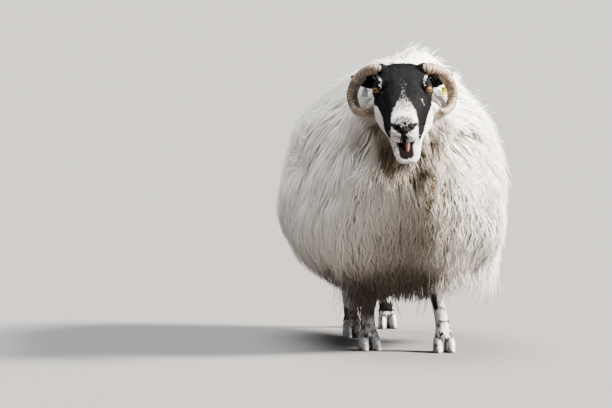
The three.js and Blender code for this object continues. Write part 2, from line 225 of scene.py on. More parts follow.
def faceWhite(local):
    # how white the hair of the head is, from 0 to 1; 0.3 to 0.7 turns into flecks
    x, t, z = local[:, 0], -local[:, 1], local[:, 2]
    side = np.abs(x)
    fall = t * 0.616 - z * 0.788  # how far down the face a place lies, seen from in front
    front = np.stack([x, fall, np.zeros(len(x))], 1)
    facing = ramp(z, -62, -40) * ramp(t, 8, 30)
    inner = np.interp(fall, [40, 57, 68, 79, 97, 111, 131, 154, 185], [4, 9, 12, 15, 23, 28, 31, 31.5, 35])
    outerRight = np.interp(fall, [85, 91, 102, 125, 154, 177, 190], [66, 63.5, 58.6, 47.6, 42.5, 34, 30])
    outerLeft = np.interp(fall, [90, 97, 108, 122, 142, 159, 176, 190], [72, 67.4, 63, 57, 51.6, 48, 40, 34])
    outer = np.where(x > 0, outerLeft, outerRight)
    soft = np.interp(fall, [60, 100, 125], [11, 8, 3])
    level = np.interp(fall, [36, 55, 70, 85, 100, 115, 130, 150, 172, 190],
                      [0, 0.28, 0.32, 0.37, 0.45, 0.56, 0.72, 0.7, 0.54, 0.6])
    blaze = (1 - ramp(np.abs(x - 2), inner - soft, inner + soft)) * level
    frost = 0.275 * (1 - ramp(side, 4, 20)) * ramp(fall, 10, 44)
    cheek = ramp(side, outer - 3, outer + 3) * ramp(fall, 92, 104)
    under = np.maximum(ramp(-z, 97, 107), ramp(-z, 74, 80) * ramp(t, 168, 176))
    under *= ramp(t, 16, 40) * (1 - 0.4 * ramp(t, 158, 182))
    white = np.maximum.reduce([blaze, frost, cheek, under])
    bridge = near(front, (-7, 137, 0), (7, 137, 0), 17, 9) * ramp(t, 185, 200)
    lipCentre = near(front, (0, 172, 0), (0, 184, 0), 9, 6) * ramp(t, 195, 205)
    white = white * (1 - 0.46 * bridge) * (1 - 0.42 * lipCentre)
    for sign, end in ((1, 53), (-1, 67)):
        arch = near(front, (sign * 63, 34, 0), (sign * 56, 28, 0), 3.0, 2.0)
        arch = np.maximum(arch, near(front, (sign * 56, 28, 0), (sign * 50.5, 41, 0), 3.6, 2.0))
        arch = np.maximum(arch, near(front, (sign * 50.5, 41, 0), (sign * 51, end, 0), 2.7, 2.0))
        white = np.maximum(white, arch * facing * 0.47)
    tear = near(front, (41, 83, 0), (50, 99, 0), 1.3, 1.2)
    return np.clip(np.maximum(white, tear * facing * 0.46), 0, 1)


print("kit ready")


# skin: head

headSettings = {
    "voxel": 1.9, "inflate": 0.8, "eyeRadius": 13.5, "eyeFill": 15.0, "eyePlace": (55.5, -73.0, -23.5),
    "gaze": (0.62, -0.58, 0.53), "slitHalf": 11.2, "slitUp": 6.6, "slitDown": 5.4, "slitTilt": 10,
    "socketNear": 24, "socketFar": 34, "fullCheek": 2.2, "rim": 1.5,
}
fillBalls = [  # centre and radii of the swellings joined to both sides of the head
    ((50, -14, -8), (18.5, 17, 16.4)),  # the collar round the horn
    ((68, -13, -27), (17, 15, 13)),  # the root of the ear
    ((25, -136, -76), (12, 30, 28)),  # the cheek
    ((31, -150, -74), (8.5, 27, 18)),  # the corner of the mouth
    ((17, -224, -26), (12, 9, 8)),  # the nostril
]
cheekStroke = ((54, -88, -98), (20, 42, 28), 6.5)
strokes = [  # centre, reach and height of each swelling or hollow, on both sides of the head
    ((55, -112, -54), (14, 52, 9), 3.2),
    ((43, -103, -20), (9, 20, 9), -4.2),
    ((36, -146, -20), (9, 36, 10), -2.4),
    ((53, -60, -3), (18, 12, 7), 3.4),
    ((60, -96, -30), (10, 7, 7), 1.8),
    ((57, -92, -38), (14, 4, 5), -1.8),
    cheekStroke,
    ((26, -214, -42), (13, 15, 13), 3.2),
    ((0, -240, -44), (2.4, 14, 13), -3.4),
    ((22, -224, -9), (9, 10, 4), 2.2),
    ((25, -217, -14), (6, 7, 3.6), -3.6),
    ((16, -226, -17), (7, 7, 4), -4.6),
    ((6, -235, -25), (6, 6, 4), -3.0),
    ((0, -232, -20), (8, 9, 8), 1.6),
    ((31, -192, -40), (10, 9, 8), -1.6),
    ((20, -66, 4), (12, 30, 8), 1.6),
    ((0, -84, 4), (8, 26, 8), -1.2),
]

headPiece = cadCopy("skin", "head", "lower_jaw")
setPoints(headPiece, points(headPiece) + normals(headPiece) * headSettings["inflate"])
earPiece = cadCopy("ears", "left_ear", "right_ear")
fills = []
for sign in (1, -1):
    place = fromHead(np.array(headSettings["eyePlace"]) * (sign, 1, 1))
    fills.append(ball(place, (headSettings["eyeFill"],) * 3))
    for (x, y, z), radii in fillBalls:
        fill = ball((sign * x, y, z), radii)
        setPoints(fill, fromHead(points(fill)))
        fills.append(fill)
skin = merge("skin", headPiece, earPiece, *fills)
remesh(skin, headSettings["voxel"])
modify(skin, "SMOOTH", factor=0.5, iterations=2)
local = toHead(points(skin))
folded = local * 1.0
folded[:, 0] = np.abs(folded[:, 0])
eyeAway = np.linalg.norm(folded - np.array(headSettings["eyePlace"]), axis=1)
socketWeight = 1 - ramp(eyeAway, headSettings["socketNear"], headSettings["socketFar"])
socket = skin.vertex_groups.new(name="socket")
for index in np.nonzero(eyeAway < headSettings["socketFar"])[0].tolist():
    socket.add([index], float(socketWeight[index]), "REPLACE")
modify(skin, "SMOOTH", factor=0.8, iterations=14, vertex_group="socket")
local = toHead(points(skin))
push = np.full(len(local), -headSettings["inflate"])
for stroke in strokes:
    centre, reach, height = stroke
    for sign in ((1, -1) if centre[0] else (1,)):
        away = (local - np.array(centre) * (sign, 1, 1)) / np.array(reach)
        fuller = headSettings["fullCheek"] if stroke is cheekStroke and sign > 0 else 1.0
        push += np.exp(-(away ** 2).sum(1)) * height * fuller
setPoints(skin, points(skin) + normals(skin) * push[:, None])

eyes = []
for sign in (1, -1):
    centre = fromHead(np.array(headSettings["eyePlace"]) * (sign, 1, 1))
    gaze = unit(headAxes @ (np.array(headSettings["gaze"]) * (sign, 1, 1)))
    level = unit(np.cross((0, 0, 1), gaze)) * sign  # towards the rear corner of the eye
    rise = np.cross(gaze, level) * sign
    eyes.append({"sign": sign, "centre": centre, "gaze": gaze, "level": level, "rise": rise})


def slitEdge(angle):
    # half-width and half-height of the opening between the lids at an angle round the gaze, in millimetres
    across = math.cos(angle) * headSettings["slitHalf"]
    high = headSettings["slitUp"] if math.sin(angle) > 0 else headSettings["slitDown"]
    return across, math.sin(angle) * high * (1 - 0.25 * abs(math.cos(angle)) ** 3)


places = points(skin)
tilt = math.radians(headSettings["slitTilt"])
for eye in eyes:
    offset = places - eye["centre"]
    reach = np.linalg.norm(offset, axis=1)
    a, b = offset @ eye["level"], offset @ eye["rise"]
    depth = offset @ eye["gaze"]
    turnedA = a * math.cos(tilt) + b * math.sin(tilt)
    turnedB = b * math.cos(tilt) - a * math.sin(tilt)
    high = np.where(turnedB > 0, headSettings["slitUp"], headSettings["slitDown"])
    scaled = headSettings["eyeRadius"] / np.maximum(reach, 1)
    inside = np.sqrt((turnedA * scaled / headSettings["slitHalf"]) ** 2 + (turnedB * scaled / high) ** 2)
    facing = (depth > 0) & (reach < headSettings["socketFar"])
    lid = facing & (inside >= 1)
    blend = 1 - ramp(inside, 1.0, 2.1)
    goal = headSettings["eyeRadius"] + headSettings["rim"] + 0.6 * np.exp(-((inside - 1.55) / 0.25) ** 2)
    wanted = np.where(lid, np.maximum(reach * (1 - blend) + goal * blend, goal * (inside < 2.1)), reach)
    wanted = np.where(facing & (inside < 1), headSettings["eyeRadius"] - 3.0, wanted)
    places = eye["centre"] + offset * (wanted / np.maximum(reach, 1e-6))[:, None]
setPoints(skin, places)
print("head skin", len(skin.data.vertices))


class Surface:
    # nearest places and smooth normals on a mesh, in millimetres
    def __init__(self, piece):
        self.places = points(piece)
        self.normals = normals(piece)
        piece.data.calc_loop_triangles()
        corners = np.empty(len(piece.data.loop_triangles) * 3, np.int32)
        piece.data.loop_triangles.foreach_get("vertices", corners)
        self.corners = corners.reshape(-1, 3)
        self.tree = BVHTree.FromPolygons(self.places.tolist(), self.corners.tolist())

    def nearest(self, wanted):
        found = [self.tree.find_nearest(place) for place in wanted.tolist()]
        spots = np.array([hit[0] for hit in found]).reshape(-1, 3)
        faces = np.array([hit[2] for hit in found], int)
        return spots, unit(self.normals[self.corners[faces]].mean(1)), faces


def cadSurface(*members):
    # the same for nodes of the CAD object
    twin = cadCopy("lookup", *members)
    surface = Surface(twin)
    bpy.data.objects.remove(twin)
    return surface


headSurface = Surface(skin)


# skin: body and legs

bodySettings = {
    "firstVoxel": 14.0, "voxel": 11.0, "axisFront": -170.0, "axisRear": 300.0, "axisHeight": 400.0,
    "up": 0.83, "side": 0.78, "down": 0.45, "front": 0.80, "rear": 0.86, "neckWidth": 0.92, "hipWidth": 0.8,
    "hipHeight": 120,
}
neckBalls = [((-9, -95, 450), 132), ((-16, -150, 492), 118), ((-23, -200, 534), 103), ((-36, -245, 580), 84),
             ((-48, -272, 606), 68), ((-57, -292, 628), 56)]
tailBalls = [((-4, 420, 505), (30, 60, 34)), ((-4, 455, 440), (20, 26, 80))]
body = cadCopy("body", "trunk")
remesh(body, bodySettings["firstVoxel"])
places = points(body)
alongAxis = np.clip(places[:, 1], bodySettings["axisFront"], bodySettings["axisRear"])
axis = np.stack([np.zeros(len(places)), alongAxis, np.full(len(places), bodySettings["axisHeight"])], 1)
offset = places - axis
direction = unit(offset)
vertical = np.where(direction[:, 2] > 0, bodySettings["up"], bodySettings["down"])
endwise = np.where(direction[:, 1] > 0, bodySettings["rear"], bodySettings["front"])
share = direction ** 2
keep = share[:, 0] * bodySettings["side"] + share[:, 1] * endwise + share[:, 2] * vertical
setPoints(body, axis + offset * keep[:, None])
extras = [ball(place, (radius * bodySettings["neckWidth"], radius, radius)) for place, radius in neckBalls]
extras += [ball(place, radii) for place, radii in tailBalls]
hips = [("left_fore_leg", (62, -185, 330), 46), ("right_fore_leg", (-84, -115, 330), 46),
        ("left_hind_leg", (62, 395, 330), 62), ("right_hind_leg", (-72, 250, 330), 62)]
for name, place, radius in hips:
    extras.append(ball(place, (radius * bodySettings["hipWidth"], radius, bodySettings["hipHeight"])))
body = merge("body", body, *extras)
remesh(body, bodySettings["voxel"])
modify(body, "SMOOTH", factor=0.5, iterations=3)
print("body skin", len(body.data.vertices))

legSettings = {"voxel": 3.0, "topRing": 34, "shankLow": 15, "shankHigh": 34, "overlap": 30}
legNames = ["left_fore_leg", "right_fore_leg", "left_hind_leg", "right_hind_leg"]
legs = cadCopy("legs", *legNames)
shanks = []
for name, place, radius in hips:
    low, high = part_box(name)
    topRing = points(nodes[name])
    topRing = topRing[topRing[:, 2] > high.z / mm - legSettings["topRing"]].mean(0)
    start, end = Vector(topRing), Vector(place)
    span = end - start
    bpy.ops.object.select_all(action="DESELECT")
    bpy.ops.mesh.primitive_cone_add(vertices=24, radius1=legSettings["shankLow"] * mm,
                                    radius2=legSettings["shankHigh"] * mm,
                                    depth=(span.length + legSettings["overlap"]) * mm)
    shank = bpy.context.object
    shank.rotation_euler = span.to_track_quat("Z", "Y").to_euler()
    shank.location = (start + end) / 2 * mm
    settle(shank)
    shanks.append(shank)
legs = merge("legs", legs, *shanks)
remesh(legs, legSettings["voxel"])
modify(legs, "SMOOTH", factor=0.5, iterations=2)
print("leg skin", len(legs.data.vertices))

for other in (body, legs):
    modify(skin, "BOOLEAN", object=other, operation="UNION", solver="MANIFOLD")
    bpy.data.objects.remove(other)
clean(skin, 0.05)
smoothFaces(skin)
print("skin", len(skin.data.vertices), len(skin.data.polygons))

bpy.ops.object.select_all(action="DESELECT")
pick(skin)
bpy.ops.object.mode_set(mode="EDIT")
bpy.ops.mesh.select_all(action="SELECT")
bpy.ops.uv.smart_project(angle_limit=math.radians(66), island_margin=0.002)
bpy.ops.object.mode_set(mode="OBJECT")
skin.data.uv_layers[0].name = "OFBake"
print("unwrapped")


# lookups on the skin and on the outline of the fleece

hullSettings = {"voxel": 12.0, "neckWool": 18, "inset": 3}
hull = cadCopy("hull", "trunk", "neck", "tail")
neckWool = [ball(place, (radius + hullSettings["neckWool"],) * 3) for place, radius in neckBalls[:4]]
hull = merge("hull", hull, *neckWool)
remesh(hull, hullSettings["voxel"])
modify(hull, "SMOOTH", factor=0.5, iterations=5)
places = points(hull)
x, y, z = places.T
inward = 6 * ramp(z, 590, 670) * ramp(-x, 10, 70) * (1 - ramp(-x, 190, 235)) * (1 - ramp(y, 60, 200))
inward += 15 * ramp(z, 540, 620) * ramp(x, 40, 110) * (1 - ramp(y, 60, 200))
inward += np.where(x > -20, 17, 5) * (1 - ramp(z, 150, 300)) * ramp(np.abs(x + 20), 60, 160)
bulge = 23 * np.exp(-((x + 235) / 52) ** 2 - ((y - 60) / 130) ** 2 - ((z - 530) / 66) ** 2)
bulge += 16 * np.exp(-((x - 215) / 42) ** 2 - ((y - 20) / 95) ** 2 - ((z - 125) / 50) ** 2)
chest = ramp(-y, 190, 280) * ramp(z, 330, 480)
relief = (4.0 + 0.5 * chest) * ripple(places, 170, 11) + (1.2 + 1.2 * chest) * ripple(places, 80, 12)
setPoints(hull, places + normals(hull) * (relief + bulge - inward - hullSettings["inset"])[:, None])
fleece = Surface(hull)
bpy.data.objects.remove(hull)
hide = Surface(skin)
guard = cadSurface("head", "lower_jaw", "left_ear", "right_ear", "left_horn", "right_horn", "left_ear_tag",
                   "right_ear_tag")
legSurface = cadSurface(*legNames)
earSurface = cadSurface("left_ear", "right_ear")

maskSettings = {"headFade": (3, 10), "earFade": (4, 8), "legFade": (5, 12), "legTop": (190, 215)}
skinPlaces = hide.places
local = toHead(skinPlaces)
headAway = np.linalg.norm(headSurface.nearest(skinPlaces)[0] - skinPlaces, axis=1)
legAway = np.linalg.norm(legSurface.nearest(skinPlaces)[0] - skinPlaces, axis=1)
behind = -local[:, 1] + 38 + local[:, 2] * 0.5
headPart = (1 - ramp(headAway, *maskSettings["headFade"])) * ramp(behind, -4, 6)
earAway = np.linalg.norm(earSurface.nearest(skinPlaces)[0] - skinPlaces, axis=1)
crown = ramp(behind, -4, 6) * ramp(local[:, 2], -66, -56) * (np.abs(local[:, 0]) < 95)
headPart = np.maximum.reduce([headPart, 1 - ramp(earAway, *maskSettings["earFade"]), crown])
legPart = 1 - ramp(legAway, *maskSettings["legFade"])
legPart *= 1 - ramp(skinPlaces[:, 2], *maskSettings["legTop"])
woolPart = 1 - np.maximum(headPart, legPart)
print("lookups")


# fleece: how the wool lies

def woolFlow(spots, outward, wave, seed):
    # the lie of the wool along the outline: down, a little back, out from the neck and away from the spine
    flow = np.zeros_like(spots)
    flow[:, 2] = -1.0
    flow[:, 1] = 0.16
    top = ramp(outward[:, 2], 0.35, 0.85)
    spine = -8 + 30 * ramp(spots[:, 1], -200, -330)
    away = np.tanh((spots[:, 0] - spine) / 85)
    flow[:, 0] += top * away * (1.1 - 0.7 * ramp(spots[:, 1], 220, 380))
    flow[:, 1] += top * 0.75
    ruff = ramp(-outward[:, 1], 0.2, 0.7) * ramp(spots[:, 2], 330, 520)
    flow[:, 0] += ruff * np.tanh((spots[:, 0] + 60) / 130) * 0.5
    windy = ramp(spots[:, 0], 20, 180) * ramp(spots[:, 2], 420, 600)
    flow[:, 0] += windy * 0.55
    flow[:, 2] += windy * 0.35
    flow = unit(flow - outward * (flow * outward).sum(1)[:, None])
    angle = wave * ripple(spots, 130, seed) + 0.5 * wave * ripple(spots, 48, seed + 1)
    side = np.cross(outward, flow)
    return flow * np.cos(angle)[:, None] + side * np.sin(angle)[:, None]


def ruffle(spots):
    # the wool of the neck and the chest is wavier than that of the flanks
    return 0.16 + 0.42 * ramp(spots[:, 2], 380, 520) * ramp(-spots[:, 1], 230, 300)


def march(roots, lengths, steps, endDepth, seed):
    # walks each lock from its root up to the outline and then along it
    spots, outward, _ = fleece.nearest(roots)
    startDepth = ((spots - roots) * outward).sum(1)
    path, facing = [roots], [outward]
    here = roots
    stride = (lengths / (steps - 1))[:, None]
    for k in range(1, steps):
        s = k / (steps - 1)
        flow = woolFlow(spots, outward, ruffle(spots), seed)
        ahead = spots + flow * stride
        down = ramp(-outward[:, 2], 0.05, 0.5)[:, None]
        spots, outward, _ = fleece.nearest(ahead * (1 - down) + (here + (0, 0, -1) * stride) * down)
        depth = startDepth * (1 - s) ** 1.7 + endDepth * s
        along = spots - outward * depth[:, None]
        hanging = here + (0, 0, -1) * stride
        under = ((spots - hanging) * outward).sum(1)
        hanging = hanging + outward * np.minimum(under - endDepth, 0)[:, None]
        here = along * (1 - down) + hanging * down
        path.append(here)
        facing.append(outward)
    return np.stack(path, 1), np.stack(facing, 1)


def pickRoots(weights, count, source):
    # places spread over the skin's faces by area and weight
    corners = hide.corners
    a, b, c = (hide.places[corners[:, i]] for i in range(3))
    share = np.linalg.norm(np.cross(b - a, c - a), axis=1) * weights[corners].mean(1)
    faces = source.choice(len(share), size=count, p=share / share.sum())
    u, v = source.random(count), source.random(count)
    flip = u + v > 1
    u[flip], v[flip] = 1 - u[flip], 1 - v[flip]
    mix = np.stack([1 - u - v, u, v], 1)
    spots = (hide.places[corners[faces]] * mix[:, :, None]).sum(1)
    outward = unit((hide.normals[corners[faces]] * mix[:, :, None]).sum(1))
    return spots, outward, faces, mix


skinUv = np.empty(len(skin.data.loops) * 2, np.float32)
skin.data.uv_layers["OFBake"].data.foreach_get("uv", skinUv)
skinUv = skinUv.reshape(-1, 2)
triangleLoops = np.empty(len(skin.data.loop_triangles) * 3, np.int32)
skin.data.loop_triangles.foreach_get("loops", triangleLoops)
triangleLoops = triangleLoops.reshape(-1, 3)


def uvAt(faces, mix):
    return (skinUv[triangleLoops[faces]] * mix[:, :, None]).sum(1)


def atCorners(values):
    # what holds at each step of a path, for the three vertices of its ring, and once for the tip
    return np.concatenate([np.repeat(values[:, :-1], 3, axis=1), values[:, -1:]], 1)


def buildTufts(name, path, facing, widths, profile, flat, rootUv, values):
    # one closed mesh piece of tapering three-sided tufts, one for each path
    count, steps, _ = path.shape
    along = np.gradient(path, axis=1)
    side = unit(np.cross(along, facing))
    lift = unit(np.cross(side, along))
    size = widths[:, None] * np.array(profile)[None, :steps - 1] / 2
    ring = []
    for angle in np.radians((90, 210, 330)):
        turn = math.cos(angle) * side[:, :-1] + math.sin(angle) * flat * lift[:, :-1]
        ring.append(path[:, :-1] + turn * size[:, :, None])
    places = np.stack(ring, 2).reshape(count, -1, 3)
    places = np.concatenate([places, path[:, -1:]], 1)
    perTuft = places.shape[1]
    corners, starts, sizes = [], [], []
    for k in range(steps - 2):
        for i in range(3):
            j = (i + 1) % 3
            starts.append(len(corners))
            corners += [3 * k + i, 3 * k + j, 3 * k + 3 + j, 3 * k + 3 + i]
            sizes.append(4)
    last = 3 * (steps - 2)
    for i in range(3):
        starts.append(len(corners))
        corners += [last + i, last + (i + 1) % 3, perTuft - 1]
        sizes.append(3)
    starts.append(len(corners))
    corners += [2, 1, 0]
    sizes.append(3)
    corners, starts = np.array(corners), np.array(starts)
    mesh = bpy.data.meshes.new(name)
    mesh.vertices.add(count * perTuft)
    mesh.vertices.foreach_set("co", (places * mm).astype(np.float32).ravel())
    mesh.loops.add(count * len(corners))
    allCorners = corners[None, :] + np.arange(count)[:, None] * perTuft
    mesh.loops.foreach_set("vertex_index", allCorners.astype(np.int32).ravel())
    mesh.polygons.add(count * len(starts))
    allStarts = starts[None, :] + np.arange(count)[:, None] * len(corners)
    mesh.polygons.foreach_set("loop_start", allStarts.astype(np.int32).ravel())
    mesh.polygons.foreach_set("use_smooth", np.ones(count * len(starts), bool))
    mesh.update(calc_edges=True)
    patch = 0.0015  # half the side of a tuft's square in the UV map, round the place of its root
    level = np.append(np.repeat(np.arange(steps - 1), 3), steps - 1) / (steps - 1)
    place = np.append(np.tile([0.0, 0.5, 1.0], steps - 1), 0.5)
    spread = np.stack([place * 2 - 1, level * 2 - 1], 1) * patch
    layer = mesh.uv_layers.new(name="OFBake")
    uv = rootUv[:, None, :] + spread[corners][None, :, :]
    layer.data.foreach_set("uv", uv.astype(np.float32).ravel())
    piece = bpy.data.objects.new(name, mesh)
    scene.collection.objects.link(piece)
    store(piece, "along", np.tile(level, count))
    for key, column in values.items():
        store(piece, key, np.repeat(column, perTuft) if column.ndim == 1 else column.ravel())
    store(piece, "lie", atCorners(facing).reshape(-1, 3))
    around = np.stack([np.tile(place, count), np.tile(level, count), np.repeat(np.arange(count), perTuft)], 1)
    store(piece, "fibre", around)
    return piece


def woolSoilAndShade(spots):
    # brown soiling down the chest, and soiling with painted shade in the creases of the neck, under the head,
    # low on the flank and more and more towards the belly
    x, y, z = spots.T
    chest = 0.66 * np.exp(-((x + 15) / 125) ** 2) * ramp(-y, 120, 230)
    chest *= ramp(z, 200, 300) * (1 - ramp(z, 470, 560))
    creases = ramp(ripple(spots * (1, 1, 1.7), 62, 31), 0.1, 0.9) * ramp(-y, 200, 270) * ramp(z, 350, 430)
    chest *= 1 - 0.9 * near(spots, (-34, -290, 385), (-24, -290, 345), 16, 12)
    creases *= 0.4 * (1 - ramp(z, 590, 640)) * (1 - ramp(x, 60, 150))
    # painted shade under the head, at the sides of the neck
    cheek = 0.72 * near(spots, (-130, -320, 560), (-90, -335, 470), 36, 26)
    cheek = np.maximum(cheek, 0.24 * near(spots, (40, -330, 560), (0, -335, 470), 30, 24))
    # towards the belly and low on the flank: soiling with painted shade
    under = (1 - ramp(z, 115, 340)) ** 1.1 * np.exp(-((x + 30) / np.where(x > -30, 125, 165)) ** 2)
    low = 0.3 * (1 - ramp(z, 150, 380)) * (1 - ramp(x, 20, 160))
    return np.clip(chest + creases + cheek + 1.05 * under + low, 0, 1)


def soilAndShadeAlong(path):
    # the soiling and painted shade at each vertex of the tufts that follow the paths
    return atCorners(woolSoilAndShade(path.reshape(-1, 3)).reshape(path.shape[:2]))


woolSettings = {
    "flat": 0.32, "guides": 3200, "seed": 7, "length": 150, "shorterOnTop": 55, "shorterOnNeck": 30,
    "shorterOnBreast": 22, "longerBelow": 25, "spread": (0.75, 1.2),
}
# name, count, steps, width, profile, pieces, least and most depth of the tip, clumping, length and region
coatLayers = [
    ("under_wool", 7500, 5, 9.0, (0.9, 1.0, 0.9, 0.6), 1, 12, 26, 0.2, 0.6, "all"),
    ("fleece", 12500, 7, 7.4, (0.7, 1.0, 1.0, 0.85, 0.6, 0.3), 3, 1, 13, 0.5, 1.0, "all"),
    ("strands", 20500, 5, 2.1, (1.0, 1.0, 0.85, 0.6), 4, -4, 7, 0.35, 1.0, "all"),
    ("flyaway", 1500, 5, 1.6, (1.0, 1.0, 0.8, 0.6), 1, -14, -4, 0.15, 1.0, "edge"),
]


def lockLengths(roots, outward, source):
    z = roots[:, 2]
    base = woolSettings["length"] - woolSettings["shorterOnTop"] * ramp(outward[:, 2], 0.3, 0.9)
    base -= woolSettings["shorterOnNeck"] * ramp(-roots[:, 1], 230, 290)
    base -= woolSettings["shorterOnBreast"] * ramp(-roots[:, 1], 200, 270) * ramp(z, 380, 470)
    base += woolSettings["longerBelow"] * (1 - ramp(z, 260, 420))
    return base * source.uniform(*woolSettings["spread"], len(roots))


def sway(path, facing, lengths, amount, phase, waves):
    # gentle waves sideways, growing towards the tips
    steps = path.shape[1]
    s = np.linspace(0, 1, steps)[None, :]
    side = unit(np.cross(np.gradient(path, axis=1), facing))
    swing = np.sin(phase[:, None] + s * waves[:, None] * 2 * math.pi) - np.sin(phase)[:, None]
    return path + side * (swing * s * amount[:, None] * lengths[:, None])[:, :, None]


def clear(path, margin):
    # true for the locks that keep off the head, ears, horns and tags
    between = (path[:, :-1] + path[:, 1:]) / 2
    here = np.concatenate([path[:, 1:], between], 1).reshape(-1, 3)
    close = (here[:, 1] < -190) & (here[:, 2] > 430)
    good = np.ones(len(here), bool)
    spots, outward, _ = guard.nearest(here[close])
    apart = here[close] - spots
    inside = (apart * outward).sum(1) < 0
    good[close] = ~(inside | (np.linalg.norm(apart, axis=1) < margin))
    return good.reshape(len(path), -1).all(1)


def growWool(name, count, steps, width, profile, pieces, endLow, endHigh, clump, stretch, region, seed):
    source = np.random.default_rng(seed)
    weights = woolPart * (0.35 + 0.65 * ramp(hide.places[:, 2], 240, 300))
    weights *= 1 + 1.2 * ramp(-hide.places[:, 1], 190, 250) * ramp(hide.places[:, 2], 380, 450)
    weights *= 1 + 0.8 * np.maximum(ramp(hide.normals[:, 2], 0.4, 0.9), ramp(hide.places[:, 1], 380, 440))
    if region == "edge":
        weights *= ramp(hide.places[:, 2], 420, 560) * (0.3 + ramp(hide.places[:, 0], 20, 120))
    roots, outward, faces, mix = pickRoots(weights, count, source)
    lengths = lockLengths(roots, outward, source) * stretch
    endDepth = source.uniform(endLow, endHigh, count)
    path, facing = march(roots - outward * 2, lengths, steps, endDepth, 5)
    guides = source.choice(count, size=min(woolSettings["guides"], count), replace=False)
    lookup = KDTree(len(guides))
    for index, guide in enumerate(guides.tolist()):
        lookup.insert(path[guide, steps // 2].tolist(), index)
    lookup.balance()
    mine = guides[[lookup.find(spot)[1] for spot in path[:, steps // 2].tolist()]]
    s = np.linspace(0, 1, steps)[None, :, None] ** 1.3
    ratio = (lengths / lengths[mine])[:, None, None]
    drawn = path[:, :1] + (path[mine] - path[mine][:, :1]) * ratio
    middle = path[mine] - path[mine][:, steps // 2:steps // 2 + 1] + path[:, steps // 2:steps // 2 + 1]
    strength = clump * source.uniform(0.4, 1.2, count)[:, None, None] * s
    path = path * (1 - strength) + (0.5 * path[mine] + 0.25 * drawn + 0.25 * middle) * strength
    phase = source.uniform(0, 6.28, count)[mine] + source.normal(0, 0.5, count)
    waves = 1.0 + 1.3 * ramp(-roots[:, 1], 200, 290) + source.uniform(-0.2, 0.3, count)
    chest = ramp(-roots[:, 1], 190, 280)
    path = sway(path, facing, lengths, (0.02 + 0.03 * source.random(count)) * (1 + 0.9 * chest), phase, waves)
    widths = width * source.uniform(0.7, 1.35, count)
    tone = np.clip(0.5 + 0.16 * source.normal(size=count) + 0.12 * source.normal(size=count)[mine], 0, 1)
    soilAndShade = soilAndShadeAlong(path)
    uv = uvAt(faces, mix)
    made = []
    kept = source.permutation(count)
    kept = kept[clear(path, 2.5 + 0.6 * width)[kept]]
    for number, part in enumerate(np.array_split(kept, pieces)):
        values = {"tone": tone[part], "soilAndShade": soilAndShade[part]}
        made.append(buildTufts(f"{name}_{number + 1}", path[part], facing[part], widths[part], profile,
                               woolSettings["flat"], uv[part], values))
    print(name, len(kept))
    return made


spraySettings = {
    "width": 1.9, "seed": 29, "profile": (1.0, 1.0, 0.8, 0.5), "flat": 0.5, "depth": 12, "bunch": 16,
}


def spray(name, sprays, width, seed):
    # loose tufts that stand out of the fleece: each is a patch of roots that lean one way and bend another
    source = np.random.default_rng(seed)
    paths, facings, uvs = [], [], []
    for centre, reach, count, lean, bend, length, scatter in sprays:
        weights = woolPart * np.exp(-(((hide.places - np.array(centre)) / reach) ** 2).sum(1))
        roots, outward, faces, mix = pickRoots(weights, count, source)
        spots, normal, _ = fleece.nearest(roots)
        start = spots - normal * spraySettings["depth"]
        lengths = length * source.uniform(0.5, 1.15, count)[:, None]
        cluster = source.integers(0, max(count // spraySettings["bunch"], 1), count)
        clusters = cluster.max() + 1
        lengths = lengths * source.uniform(0.55, 1.2, clusters)[cluster][:, None]
        spread = source.normal(0, 0.3 * scatter, (clusters, 3))[cluster] + source.normal(0, 0.07, (count, 3))
        twist = source.normal(0, 0.35 * scatter, (clusters, 3))[cluster] + source.normal(0, 0.07, (count, 3))
        heart = source.choice(count, clusters)[cluster]
        start = start * 0.45 + start[heart] * 0.55
        s = np.linspace(0, 1, 5)
        rise = np.array(lean) + spread
        turn = np.array(bend) + spread + twist
        steps = [start + lengths * (rise * u * (1 - 0.5 * u) + turn * 0.5 * u * u) for u in s[1:]]
        paths.append(np.stack([roots] + steps, 1))
        facings.append(np.repeat(normal[:, None], 5, 1))
        uvs.append(uvAt(faces, mix))
    path, facing, uv = np.concatenate(paths), np.concatenate(facings), np.concatenate(uvs)
    kept = np.nonzero(clear(path, 4.0))[0]
    values = {"tone": np.clip(source.normal(0.65, 0.15, len(kept)), 0, 1), "soilAndShade": soilAndShadeAlong(path[kept])}
    widths = width * source.uniform(0.6, 1.5, len(kept))
    return buildTufts(name, path[kept], facing[kept], widths, spraySettings["profile"], spraySettings["flat"],
                      uv[kept], values)


